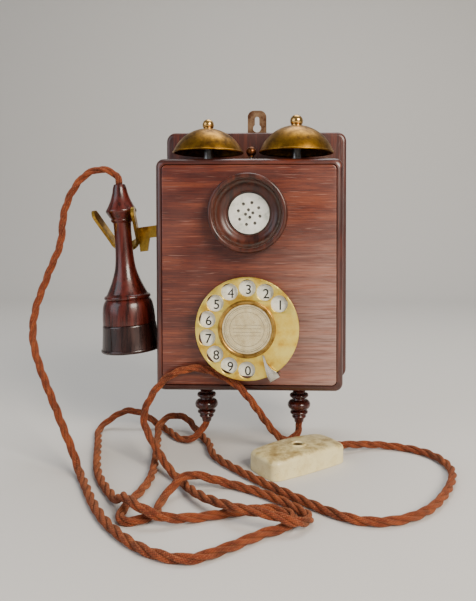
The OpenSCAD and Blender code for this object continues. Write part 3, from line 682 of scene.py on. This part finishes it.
add_node(
    dial_brass, "MapRange",
    {"Value": brushed["Fac"], "From Min": 0.3, "From Max": 0.7, "To Min": 0.28, "To Max": 0.42},
    feeds="Roughness")
add_node(
    dial_brass, "Bump", {"Height": brushed["Fac"], "Strength": 0.05, "Distance": 0.0001},
    feeds="Normal")

wheel_r = (wheel_high.x - wheel_low.x) / 2
wheel_front = -wheel_low.y
wheel_back = wheel_front - 2 * MM
holes = [on_ring(hole_ring, a) for a in hole_angles]
finger_wheel = plate(
    "finger_wheel_plate",
    [ring_of(wheel_r, points=128)] + [ring_of(6.2 * MM, c, 48) for c in holes],
    wheel_back, wheel_front, dial, 0.4 * MM)
settle(finger_wheel, dial_brass, "dial", "dial_brass", "finger_wheel")
# The skirt is given a much darker brass than the wheel above it: painted shade along the wheel's
# edge.
wheel_skirt = lathe("finger_wheel_skirt", [
    (wheel_r - 1.2 * MM, wheel_back - 1.4 * MM), (wheel_r - 0.3 * MM, wheel_back - 1.4 * MM),
    (wheel_r, wheel_back - 1.1 * MM), (wheel_r, wheel_back + 0.6 * MM),
    (wheel_r - 1.2 * MM, wheel_back + 0.6 * MM)], dial, closed=True)
shaded_skirt_brass = aged_brass("painted_shade_skirt_brass", "#7a5820", "#3c2810", 0.5, 0.34)
settle(wheel_skirt, shaded_skirt_brass, "dial", "dial_brass")

# A printed card under a domed celluloid cover, held by a brass bezel. The card has gone the
# colour of tea; it carries plain rings and ruled lines, as a number card does.
card_front = wheel_front + 0.5 * MM
dial_card = lathe("dial_card_disc", [
    (1e-5, wheel_front), (18.1 * MM, wheel_front), (18.1 * MM, card_front), (1e-5, card_front)],
    dial)
card_paper = new_material("printed_card", "#cdbf95", Roughness=0.8)
card_place = add_node(card_paper, "TexCoord")["Object"]
foxing = add_node(
    card_paper, "TexNoise", {"Vector": card_place, "Scale": 1 / (5 * MM), "Detail": 5.0})
paper = add_node(
    card_paper, "ValToRGB", {"Fac": foxing["Fac"]},
    stops=((0.32, "#b09a6c"), (0.5, "#cfbf94"), (0.7, "#ded2ad")))
from_middle = add_node(
    card_paper, "VectorMath", {0: card_place, 1: (0, -card_front, dial_z)},
    operation="SUBTRACT")
flat_middle = add_node(
    card_paper, "VectorMath", {0: from_middle["Vector"], 1: (1, 0, 1)}, operation="MULTIPLY")
from_axis = add_node(
    card_paper, "VectorMath", {0: flat_middle["Vector"]}, operation="LENGTH")["Value"]
height = add_node(card_paper, "SeparateXYZ", {"Vector": from_middle["Vector"]})["Z"]
ink = None
for ring_r, half_line in ((16.6, 0.3), (15.4, 0.16), (12.6, 0.2)):
    line = add_node(
        card_paper, "Math", {0: from_axis, 1: ring_r * MM, 2: half_line * MM},
        operation="COMPARE")[0]
    ink = line if ink is None else add_node(
        card_paper, "Math", {0: ink, 1: line}, operation="MAXIMUM")[0]
inside = add_node(
    card_paper, "Math", {0: from_axis, 1: 10.6 * MM}, operation="LESS_THAN")[0]
for ruled in (3.0, 0.4, -2.2, -4.8):
    line = add_node(
        card_paper, "Math", {0: height, 1: ruled * MM, 2: 0.2 * MM}, operation="COMPARE")[0]
    line = add_node(card_paper, "Math", {0: line, 1: inside}, operation="MULTIPLY")[0]
    ink = add_node(card_paper, "Math", {0: ink, 1: line}, operation="MAXIMUM")[0]
faded = add_node(card_paper, "Math", {0: ink, 1: 0.85}, operation="MULTIPLY")[0]
add_node(
    card_paper, "Mix", {0: faded, 6: paper["Color"], 7: linear("#332a1c")},
    data_type="RGBA", feeds="Base Color", output=2)
settle(dial_card, card_paper, "dial", "card", "dial_label")

cover_back = wheel_front + 0.62 * MM
cover_profile = [(1e-5, cover_back), (18.1 * MM, cover_back)]
cover_profile += [
    (18.1 * MM * math.cos(math.radians(a)),
     cover_back + (0.5 + 1.1 * math.sin(math.radians(a))) * MM)
    for a in range(0, 90, 9)]
cover_profile.append((1e-5, cover_back + 1.6 * MM))
label_cover = lathe("label_cover_dome", cover_profile, dial)
# Celluloid, clear but yellowed: mostly seen as a soft shine over the card.
celluloid = new_material("yellowed_celluloid", "#e6dcb4", Roughness=0.14, IOR=1.5, Alpha=0.16)
haze = add_node(celluloid, "TexNoise", {"Scale": 1 / (9 * MM), "Detail": 3.0})
add_node(
    celluloid, "MapRange",
    {"Value": haze["Fac"], "From Min": 0.35, "From Max": 0.7, "To Min": 0.1, "To Max": 0.22},
    feeds="Roughness")
settle(label_cover, celluloid, "dial", "clear_cover", "label_cover")

bezel_profile = [(18.25, 85.3), (21.2, 85.3), (21.2, 86.1)]
bezel_profile += arc((20.3, 86.3), 0.9, 0, 90, 5) + [(19.3, 87.2), (18.7, 86.9), (18.25, 86.3)]
label_bezel = lathe("label_bezel_ring", in_mm(bezel_profile), dial, closed=True)
bezel_brass = aged_brass("bezel_brass", "#c39a50", "#6e4c22", 0.52, 0.26)
settle(label_bezel, bezel_brass, "dial", "dial_brass", "label_bezel")


def flowing(points, steps):
    """A smooth line through points of any size, with steps between each two"""
    ends = [points[0]] + list(points) + [points[-1]]
    line = []
    for a, b, c, d in zip(ends, ends[1:], ends[2:], ends[3:]):
        for i in range(steps):
            t = i / steps
            line.append(tuple(
                0.5 * (2 * q + (r - p) * t + (2 * p - 5 * q + 4 * r - s) * t * t
                       + (3 * q - p - 3 * r + s) * t ** 3)
                for p, q, r, s in zip(a, b, c, d)))
    return line + [tuple(points[-1])]


# Nickel on brass, worn through to yellow along its edges.
stop_nickel = aged_brass("worn_nickel", "#d6d3c8", "#a59a7c", 0.6, 0.2)
stop_turn = Matrix.Rotation(math.radians(-59), 4, "Z")
horn = in_mm(
    flowing([(41.8, 3), (37.6, 2.8), (35, 1.5), (32, 0.4), (28.3, 0), (25.5, 0.6), (23, 1.3)], 4)
    + [(21.6, 0.6)]
    + flowing([(22.2, -0.2), (25.5, -1.3), (29, -2.5), (33, -3.8), (37.2, -5), (41.8, -5)], 4))
finger_stop = plate("finger_stop_horn", [horn], 86.15 * MM, 87.6 * MM, dial @ stop_turn, 0.3 * MM)
settle(finger_stop, stop_nickel, "case", "nickel", "finger_stop")
stop_root = loft("finger_stop_root", [
    [dial @ stop_turn @ Vector((x, y, z)) for x, y, z in ring] for ring in (
        in_mm([(36.6, -4.7, 72.1), (36.6, 2.7, 72.1), (41.9, 2.7, 72.1), (41.9, -4.7, 72.1)]),
        in_mm([(36.6, -4.7, 73.1), (36.6, 2.7, 73.1), (41.9, 2.7, 73.1), (41.9, -4.7, 73.1)]),
        in_mm([(39.4, -4.8, 73.6), (39.4, 2.8, 73.6), (42, 2.8, 73.6), (42, -4.8, 73.6)]),
        in_mm([(39.4, -4.8, 86.6), (39.4, 2.8, 86.6), (42, 2.8, 86.6), (42, -4.8, 86.6)]),
        in_mm([(40, -4.6, 87.4), (40, 2.6, 87.4), (41.6, 2.6, 87.4), (41.6, -4.6, 87.4)]))])
settle(stop_root, stop_nickel, "case", "nickel")

# The works behind the wheel: a shaft, gears cut from brass sheet, a blued return spring and
# the governor, all turned and cut sharp, with their edges just broken.
gear_brass = aged_brass("cut_gear_brass", "#c2a14a", "#8f7030", 0.58, 0.28)
work_steel = aged_brass("bright_work_steel", "#a3a3a0", "#6e6a64", 0.56, 0.28, 0.2)
spring_steel = aged_brass("blued_spring_steel", "#4d5a78", "#37405a", 0.5, 0.25, 0.2)
black_fibre = ebonised("pressed_black_fibre", "#171513", "#2f2b27", 0.45)
finish_nodes(gear_brass, "dial_main_gear", "pulse_wheel", "governor", "governor_cup",
             "terminal_screws", "block_terminals")
finish_nodes(work_steel, "dial_shaft", "dial_axles", "hammer_rod", "armature_pivot",
             "hook_pivot_pin", "bell_posts")
finish_nodes(spring_steel, "return_spring", "hook_contacts")
finish_nodes(zinc, "dial_clamp_ring", "hook_bracket", "receiver_capsule", edge=0.3 * MM)
finish_nodes(black_fibre, "pulse_contacts", "terminal_strip", "block_base")
finish_nodes(cased_brass, "transmitter_clamp", edge=0.3 * MM)

# --- Bells -----------------------------------------------------------------------------------
# Two spun brass gongs of slightly different pitch, so of different size. Each sits on a post on
# the case's top and is held by a ball nut; their polish has aged to olive brown.

bell_brass = aged_brass("aged_bell_brass", "#b07f26", "#533812", 0.5, 0.28, 0.5)
knob_brass = aged_brass("handled_knob_brass", "#d8ab63", "#8a5f34", 0.58, 0.16, 0.3)
for side, ball in (("left", 4.5), ("right", 5.1)):
    low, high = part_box("bell_" + side)
    rim = (high.x - low.x) / 2 / MM
    tall = (high.z - low.z) / MM
    dome = (rim * rim + tall * tall) / (2 * tall)
    to_rim = math.degrees(math.acos((dome - tall) / dome))
    outer = [
        (dome * math.sin(math.radians(a)), tall - dome + dome * math.cos(math.radians(a)))
        for a in [4.5 + (to_rim - 6.5) * i / 26 for i in range(27)]]
    thick = 1.5
    inner = [
        ((dome - thick) * math.sin(math.radians(a)),
         tall - dome + (dome - thick) * math.cos(math.radians(a)))
        for a in [to_rim - 4 - (to_rim - 9.5) * i / 22 for i in range(23)]]
    bead = [(rim - 0.35, 1.5), (rim + 0.1, 1.0), (rim + 0.1, 0.4), (rim - 0.4, 0.0),
            (rim - 1.4, 0.0), (rim - 1.9, 0.5)]
    place = Matrix.Translation(((low.x + high.x) / 2, (low.y + high.y) / 2, low.z))
    gong = lathe(
        f"bell_{side}_gong", in_mm(outer + bead + inner), place, closed=True, segments=128)
    settle(gong, bell_brass, "case", "bell_brass", "bell_" + side)

    knob_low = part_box("bell_knob_" + side)[0]
    crown = Matrix.Translation((place.translation.x, place.translation.y, knob_low.z))
    nut = [(0.01, -0.3), (ball * 0.78, -0.3), (ball * 0.78, 0.5), (ball * 0.66, 0.9)]
    nut += arc((0, 0.62 * ball), ball, -32, 84, 18) + [(0.01, 1.62 * ball)]
    knob = lathe(f"bell_{side}_ball_nut", in_mm(nut), crown, segments=64, sharp=50)
    settle(knob, knob_brass, "case", "knob_brass", "bell_knob_" + side)

# --- Ringer ----------------------------------------------------------------------------------
# Two coils of red silk-covered wire pull a rocking armature to and fro. Its rod comes up
# through a slot in the case's top, and a brass ball on the rod strikes the bells in turn.

ball_low, ball_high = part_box("hammer_ball")
ball_r = (ball_high.x - ball_low.x) / 2 / MM
hammer_profile = [
    (0.01, -ball_r - 0.6), (1.9, -ball_r - 0.6), (2.1, -ball_r - 0.2), (2.0, -ball_r + 0.6)]
hammer_profile += arc((0, 0), ball_r, -58, 84, 20) + [(0.01, ball_r)]
hammer_ball = lathe(
    "hammer_ball_turned", in_mm(hammer_profile),
    Matrix.Translation((ball_low + ball_high) / 2), segments=64, sharp=50)
settle(hammer_ball, aged_brass("browned_hammer_brass", "#8f5c36", "#4a2818", 0.52, 0.24),
       "hammer", "knob_brass", "hammer_ball")
soft_iron = aged_brass("annealed_iron", "#75767a", "#45403c", 0.52, 0.4)
finish_nodes(soft_iron, "armature", "ringer_frame", edge=0.4 * MM)

# Silk-covered wire wound in 0.6 mm turns: dark red, with a ridge for each turn. Its colour follows
# the ridges and is darker between the turns: painted shade in the grooves.
winding = new_material("wound_silk_wire", "#6a2a1c", Roughness=0.6, Sheen_Weight=0.3)
winding_place = add_node(winding, "TexCoord")["Object"]
turns = add_node(
    winding, "TexWave", {"Vector": winding_place, "Scale": 1 / (0.6 * MM) / 20},
    bands_direction="Z")
add_node(
    winding, "ValToRGB", {"Fac": turns["Fac"]}, stops=((0.1, "#3a120c"), (0.7, "#7d3626")),
    feeds="Base Color")
add_node(winding, "Bump", {"Height": turns["Fac"], "Strength": 0.4, "Distance": 0.0003},
         feeds="Normal")
finish_nodes(winding, "ringer_coils", "induction_coil")
finish_nodes(aged_brass("tinned_can", "#9a948a", "#6f675c", 0.5, 0.4), "capacitor",
             edge=0.6 * MM)

# --- Hook ------------------------------------------------------------------------------------
# A brass lever that pivots in the case and carries the receiver in a bent fork outside it. The
# bar is cut from strip, and the fork is bent from it and brazed on.

hook_brass = aged_brass("rubbed_hook_brass", "#cfa648", "#7c5a28", 0.54, 0.25)
finish_nodes(hook_brass, "hook_lever", edge=0.35 * MM)

# --- Receiver --------------------------------------------------------------------------------
# Turned in one piece from dense red mahogany and polished bright, with an ebonised ear cap
# screwed on below. The capsule and its iron diaphragm sit inside the bell of the shell.

receiver_top = Vector((-106.5, -43, -50.7)) * MM
receiver = Matrix.Translation(receiver_top) @ Matrix.Rotation(math.radians(-3.86), 4, "Y")
tail = flowing([(4.5, -0.5), (5.3, -3), (6.1, -7), (8.0, -13), (10.8, -18.8)], 5)
shoulder = arc((9.6, -21.4), 2.4, 38, -40, 8)
ring = [(9.7, -25.9), (8.4, -27.3)] + arc((7.4, -28.8), 1.3, 50, -50, 6)
neck = flowing([
    (7.0, -31.0), (6.7, -38), (6.8, -50), (7.3, -60), (8.4, -68), (11, -76.5), (14.2, -84),
    (15.8, -87.3)], 5)
bead = arc((16.4, -89.9), 1.7, 75, -75, 8)
bowl = flowing([(17.6, -92.2), (19.0, -95), (19.9, -100), (20.4, -106), (20.5, -110.9)], 5)
socket = [(20.2, -111.2), (18.4, -111.2), (18.4, -122), (16.5, -122), (16.5, -100), (2.95, -100)]
shell_profile = [(2.95, -0.4), (3.6, 0.0), (4.2, -0.1)]
shell_profile += tail + shoulder + ring + neck + bead + bowl + socket
receiver_shell = lathe("receiver_shell_turned", in_mm(shell_profile), receiver, closed=True)
receiver_wood = ebonised("polished_red_mahogany", "#240a05", "#601c0f", 0.24, 0.2)
settle(receiver_shell, receiver_wood, "receiver", "receiver_wood", "receiver_shell")

cap_profile = [(18.5, -111.4), (20.5, -111.4)]
cap_profile += flowing([(20.8, -111.8), (21.2, -117), (21.9, -125), (22.3, -128.6)], 4)
cap_profile += arc((21.6, -131.2), 1.7, 60, -90, 9)
cap_profile += flowing([
    (19.5, -133.1), (16, -132), (11.5, -130.2), (7.6, -129.4), (6.4, -128.6)], 4)
cap_profile += [(6, -128), (6, -124), (18.5, -124)]
receiver_cap = lathe("receiver_ear_cap", in_mm(cap_profile), receiver, closed=True)
settle(receiver_cap, ebonised("ebonised_ear_cap", "#140806", "#3a1a12", 0.24), "receiver",
       "receiver_dark_wood", "receiver_cap")
finish_nodes(soft_iron, "receiver_diaphragm")

# --- Finials ---------------------------------------------------------------------------------
# Two turned drops plugged into the case's underside, of dark wood polished bright. Each has a
# bore, and a cord leaves the telephone through it.

finial_wood = ebonised("polished_finial_wood", "#210b07", "#552014", 0.2)
for side in ("left", "right"):
    low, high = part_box("finial_" + side)
    drop = (high.z - low.z) / MM
    turned = [(2.95, 0), (8, 0), (8, -2.2)] + arc((6.6, -3.2), 1.5, 40, -60, 6)
    turned += flowing([(6.2, -5.2), (5.2, -6.6), (4.9, -8)], 3) + arc((6.0, -10), 1.6, 80, -80, 8)
    turned += [(4.9, -12.2), (5.2, -13.3)] + arc((5.2, -17.4), 3.9, 72, -72, 12)
    turned += [(5.2, -21.6), (5.0, -22.1)] + arc((5.9, -23.5), 1.3, 80, -80, 7)
    turned += [(4.7, -25.2)] + arc((4.5, -26.9), 1.2, 70, -80, 6)
    turned += flowing([(4.1, -28.5), (3.8, -29.8), (3.6, -drop + 0.3)], 3) + [(2.95, -drop)]
    place = Matrix.Translation(((low.x + high.x) / 2, (low.y + high.y) / 2, high.z))
    finial = lathe(f"finial_{side}_turned", in_mm(turned), place, closed=True, segments=64)
    settle(finial, finial_wood, "case", "finial_wood", "finial_" + side)

# --- Cords -----------------------------------------------------------------------------------
# Three wires, each in its own braid of rust-brown cotton, laid up into a limp twisted cord. One
# runs from the receiver's tail to the left finial, the other from the right finial to the block.

CORD_D = 5.9 * MM
strand_r = 1.45 * MM
lay_r = CORD_D / 2 - strand_r
lay_pitch = 38 * MM
strand_sides = 10
on_floor = -255
receiver_route = [
    (-106.5, -43, -50.7), (-109, -43, -43.5), (-119, -45, -39), (-131, -48, -43),
    (-141, -51, -56), (-147, -54, -74), (-149, -57, -98), (-156, -63, -121), (-163, -72, -151),
    (-158, -82, -178), (-134, -98, -221), (-121, -107, -242), (-111, -118, -254.5),
    (-84, -165, on_floor), (-63, -193, on_floor), (-39, -214, on_floor), (-16, -221, on_floor),
    (2, -210, on_floor), (20, -194, on_floor), (33, -185, on_floor), (36, -172, on_floor),
    (22, -163, on_floor), (5, -167, on_floor), (-16, -175, on_floor), (-36, -183, -252),
    (-50, -183, -247), (-65, -170, -246), (-76, -154, -254), (-101, -112, on_floor),
    (-122, -52, on_floor), (-131, -24, on_floor), (-126, -10, -250), (-112, -9, -243),
    (-97, -9, -246), (-82, -13, on_floor), (-70, -27, on_floor), (-61, -40, on_floor),
    (-50, -48, -253.5), (-41, -47, -247), (-37, -43, -240)]
line_route = [
    (37, -43, -240), (36, -45, -248), (28, -52, -252), (18, -62, -242), (-2, -77, -209),
    (-17, -77, -197), (-38, -77, -190), (-59, -77, -196), (-73, -78, -212), (-77, -81, -230),
    (-57, -105, -248.5), (-42, -123, -254.5), (-22, -155, -251), (2, -178, -247.5),
    (24, -188, -247), (39, -188, -251), (46, -175, on_floor), (38, -162, on_floor),
    (16, -142, on_floor), (-8, -130, -254), (-33, -136, -246.5), (-45, -152, -254),
    (-46, -171, on_floor), (-56, -182, on_floor), (-66, -172, on_floor), (-62, -120, on_floor),
    (-75, -50, on_floor), (-80, -25, -250), (-73, -11, -246.5), (-60, -12, -248),
    (-47, -28, -254), (-34, -52, on_floor), (-20, -86, on_floor), (34, -144, on_floor),
    (78, -177, on_floor), (117, -162, on_floor), (144, -108, on_floor), (136, -70, on_floor),
    (102, -53, -254.5), (61, -67, -250)]


def centre_line(route, step=1.8 * MM):
    """A smooth line through a route in millimetres, in even steps, resting on the floor"""
    line = [Vector(p) * MM for p in flowing(route, 16)]
    for point in line:
        point.z = max(point.z, on_floor * MM)
    lengths = [0.0]
    for a, b in zip(line, line[1:]):
        lengths.append(lengths[-1] + (b - a).length)
    count = round(lengths[-1] / step)
    even, i = [], 0
    for n in range(count + 1):
        wanted = lengths[-1] * n / count
        while i < len(line) - 2 and lengths[i + 1] < wanted:
            i += 1
        share = (wanted - lengths[i]) / (lengths[i + 1] - lengths[i])
        even.append(line[i].lerp(line[i + 1], share))
    return even, lengths[-1]


def twisted_cord(name, line, length):
    """Three strands laid up round a line, with a UV map in strand circumferences"""
    step = length / (len(line) - 1)
    turn = math.tau * step / lay_pitch
    side = Vector((0, 1, 0))
    rings = []
    for i, point in enumerate(line):
        ahead = (line[min(i + 1, len(line) - 1)] - line[max(i - 1, 0)]).normalized()
        side = (side - ahead * side.dot(ahead)).normalized()
        rings.append((point, ahead, side, ahead.cross(side)))
    vertices, faces, uvs = [], [], []
    around = math.tau * strand_r
    for strand in range(3):
        start = len(vertices)
        for i, (point, ahead, side, up) in enumerate(rings):
            a = turn * i + math.tau * strand / 3
            out = side * math.cos(a) + up * math.sin(a)
            swirl = up * math.cos(a) - side * math.sin(a)
            along = (ahead + swirl * (math.tau * lay_r / lay_pitch)).normalized()
            across = along.cross(out)
            for k in range(strand_sides):
                b = math.tau * k / strand_sides
                vertices.append(
                    point + out * lay_r + (out * math.cos(b) + across * math.sin(b)) * strand_r)
        for i in range(len(rings) - 1):
            for k in range(strand_sides):
                n = (k + 1) % strand_sides
                row, above = start + i * strand_sides, start + (i + 1) * strand_sides
                faces.append((row + k, row + n, above + n, above + k))
                u = [k / strand_sides, (k + 1) / strand_sides]
                v = [i * step / around, (i + 1) * step / around]
                uvs += [(u[0], v[0]), (u[1], v[0]), (u[1], v[1]), (u[0], v[1])]
        last = start + (len(rings) - 1) * strand_sides
        faces.append(tuple(start + k for k in reversed(range(strand_sides))))
        faces.append(tuple(last + k for k in range(strand_sides)))
        uvs += [(0.0, 0.0)] * (2 * strand_sides)
    mesh = bpy.data.meshes.new(name)
    mesh.from_pydata([tuple(v) for v in vertices], [], faces)
    mesh.shade_smooth()
    layer = mesh.uv_layers.new(name="braid")
    for loop, uv in zip(layer.data, uvs):
        loop.uv = uv
    made = bpy.data.objects.new(name, mesh)
    bpy.context.scene.collection.objects.link(made)
    return made


# Braided cotton, faded from red-brown to orange where the light reaches it. The plaits are
# 1.4 mm, drawn coarser than the real 0.8 mm so that they show, with a soft fuzzy sheen.
cotton = new_material(
    "braided_cotton", "#a5512f", Roughness=0.8, Sheen_Weight=0.35, Sheen_Roughness=0.5,
    Sheen_Tint=linear("#f0b080"), Specular_IOR_Level=0.3)
plaits = 6
braid_uv = add_node(cotton, "SeparateXYZ", {"Vector": add_node(cotton, "TexCoord")["UV"]})
crossings = []
for way in (1, -1):
    slant = add_node(
        cotton, "Math", {0: braid_uv["Y"], 1: way * 1.0, 2: braid_uv["X"]},
        operation="MULTIPLY_ADD")[0]
    angle = add_node(cotton, "Math", {0: slant, 1: math.pi * plaits}, operation="MULTIPLY")[0]
    crossings.append(add_node(cotton, "Math", {0: angle}, operation="SINE")[0])
woven = add_node(
    cotton, "Math", {0: crossings[0], 1: crossings[1]}, operation="MULTIPLY")[0]
plait = add_node(cotton, "Math", {0: woven}, operation="ABSOLUTE")[0]
cotton_place = add_node(cotton, "TexCoord")["Object"]
faded_cloud = add_node(
    cotton, "TexNoise", {"Vector": cotton_place, "Scale": 1 / (7 * MM), "Detail": 4.0})
fluff = add_node(
    cotton, "TexNoise", {"Vector": cotton_place, "Scale": 1 / (0.8 * MM), "Detail": 1.0})
thread = add_node(
    cotton, "ValToRGB", {"Fac": faded_cloud["Fac"]},
    stops=((0.32, "#5e2412"), (0.5, "#86391c"), (0.68, "#a85226")))
light_thread = add_node(
    cotton, "MapRange",
    {"Value": fluff["Fac"], "From Min": 0.56, "From Max": 0.7, "To Max": 0.55})
lit = add_node(
    cotton, "Mix", {0: light_thread[0], 6: thread["Color"], 7: linear("#d58656")},
    data_type="RGBA")
# Painted shade: the gaps between the plaits are darkened almost to black.
plait_gap_shade = add_node(
    cotton, "MapRange",
    {"Value": plait, "From Min": 0.0, "From Max": 0.5, "To Min": 0.8, "To Max": 0.0})
add_node(
    cotton, "Mix", {0: plait_gap_shade[0], 6: lit[2], 7: linear("#331008")}, data_type="RGBA",
    feeds="Base Color", output=2)
add_node(cotton, "Bump", {"Height": plait, "Strength": 0.8, "Distance": 0.0005},
         feeds="Normal")

receiver_line, receiver_length = centre_line(receiver_route)
receiver_cord = twisted_cord("receiver_cord_twisted", receiver_line, receiver_length)
receiver_cord.data.materials.append(cotton)
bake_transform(receiver_cord)
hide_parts("receiver_cord_lead", "receiver_cord")

line_line, line_length = centre_line(line_route)
line_cord = twisted_cord("line_cord_twisted", line_line, line_length)
settle(line_cord, cotton, "case", "braided_cotton", "line_cord")

# --- Junction block --------------------------------------------------------------------------
# A moulded cover in ivory plastic over a black base, held by one screw in a ringed recess. Its
# sides bow and its top is crowned; it has yellowed and is dirty in clouds, and its top is painted
# darker than its sides as painted shade.

cover_low, cover_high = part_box("block_cover")
block_mid = (cover_low + cover_high) / 2
block = (
    Matrix.Translation((block_mid.x, block_mid.y, cover_low.z))
    @ Matrix.Rotation(math.radians(38), 4, "Z"))
block_l = 66 * MM
block_w = 36 * MM
block_h = cover_high.z - cover_low.z
side_bow_r = 300 * MM
end_bow_r = 120 * MM
cross_crown_r = 160 * MM
long_crown_r = 272 * MM


def bow(distance, radius):
    """How far an arc of a radius falls away at a distance from its middle"""
    return radius - math.sqrt(radius * radius - distance * distance)


def block_ring(inset):
    """The block's plan: a rectangle with bowed sides and round corners"""
    steps = 9
    outline = rounded_outline(block_l - 2 * inset, block_w - 2 * inset, 4.5 * MM, steps)
    points = []
    for i, (x, y) in enumerate(outline):
        points.append((x, y))
        if i % (steps + 1) == steps:
            nx, ny = outline[(i + 1) % len(outline)]
            points += [(x + (nx - x) * t / 10, y + (ny - y) * t / 10) for t in range(1, 10)]
    return [
        (x - math.copysign(bow(y, end_bow_r), x) * abs(2 * x / block_l),
         y - math.copysign(bow(x, side_bow_r), y) * abs(2 * y / block_w)) for x, y in points]


def top_at(x, y):
    """The height of the block's crowned top"""
    return block_h - bow(y, cross_crown_r) - bow(x, long_crown_r)


rings = []
for inset, height in ((2.4, 10.5), (2.4, 0.0), (0.5, 0.0), (0.0, 0.5)):
    rings.append([(x, y, height * MM) for x, y in block_ring(inset * MM)])
block_edge = 2.6 * MM
for i in range(8):
    a = math.radians(90 * i / 7)
    inset = block_edge * (1 - math.cos(a))
    rings.append([
        (x, y, top_at(x, y) - block_edge * (1 - math.sin(a))) for x, y in block_ring(inset)])
rim_points = []
for x, y in block_ring(block_edge):
    a = math.atan2(y / block_w, x / block_l)
    rim_points.append((x, y, math.cos(a), math.sin(a)))
rim_r = 6.5 * MM
for share in (0.2, 0.4, 0.6, 0.8, 1.0):
    ring = []
    for x, y, across, up in rim_points:
        px = x + (rim_r * across - x) * share
        py = y + (rim_r * up - y) * share
        ring.append((px, py, top_at(px, py)))
    rings.append(ring)
for radius, rise in ((6.3, 0.2), (5.8, 0.7), (5.2, 0.9), (4.5, 0.8), (4.1, 0.2), (4.0, -1.9)):
    rings.append([
        (radius * MM * across, radius * MM * up, block_h + (rise - 0.1) * MM)
        for x, y, across, up in rim_points])
block_cover = loft("block_cover_moulded", [[block @ Vector(p) for p in ring] for ring in rings])
hole_place = block @ Matrix.Translation((block_l / 2 - 5 * MM, 0, 8 * MM)) @ Matrix.Rotation(
    math.radians(90), 4, "Y")
cut(block_cover, lathe(
    "cutter", [(3.2 * MM, 0), (3.2 * MM, 12 * MM)], hole_place, segments=32))
# Yellowed ivory plastic, a little translucent. Dirt shows in clouds 9 mm wide, with brown specks
# of 1 mm, and it makes the gloss patchy. Faces that look up are painted darker than the sides:
# painted shade on the top.
ivory = new_material(
    "yellowed_ivory_plastic", "#d8cfa6", Roughness=0.38, IOR=1.5, Coat_Weight=0.1)
ivory_place = add_node(ivory, "TexCoord")["Object"]
dirt = add_node(
    ivory, "TexNoise",
    {"Vector": ivory_place, "Scale": 1 / (9 * MM), "Detail": 6.0, "Roughness": 0.65})
# Painted shade: the upward faces are pushed towards the darker colours and the side faces towards
# the lighter ones.
upward = add_node(ivory, "SeparateXYZ", {"Vector": add_node(ivory, "NewGeometry")["Normal"]})
painted_top_shade = add_node(
    ivory, "MapRange",
    {"Value": upward["Z"], "From Min": 0.2, "From Max": 0.95, "To Min": -0.1, "To Max": 0.1})
dirt_and_top_shade = add_node(ivory, "Math", {0: dirt["Fac"], 1: painted_top_shade[0]}, operation="ADD")
cover_colour = add_node(
    ivory, "ValToRGB", {"Fac": dirt_and_top_shade[0]},
    stops=((0.36, "#f2e4ae"), (0.54, "#e4d398"), (0.66, "#bda66c"), (0.82, "#8c7040")))
specks = add_node(ivory, "TexNoise", {"Vector": ivory_place, "Scale": 1 / (1 * MM)})
speck_mask = add_node(
    ivory, "MapRange",
    {"Value": specks["Fac"], "From Min": 0.68, "From Max": 0.76, "To Max": 0.5})
add_node(
    ivory, "Mix", {0: speck_mask[0], 6: cover_colour["Color"], 7: linear("#5d4726")},
    data_type="RGBA", feeds="Base Color", output=2)
add_node(
    ivory, "MapRange",
    {"Value": dirt["Fac"], "From Min": 0.3, "From Max": 0.7, "To Min": 0.3, "To Max": 0.52},
    feeds="Roughness")
add_node(
    ivory, "Bump", {"Height": dirt["Fac"], "Strength": 0.06, "Distance": 0.0004},
    feeds="Normal")
settle(block_cover, ivory, "case", "ivory_plastic", "block_cover")
finish_nodes(aged_brass("tarnished_screw_brass", "#7a5e2c", "#33240f", 0.48, 0.4),
             "block_screw")
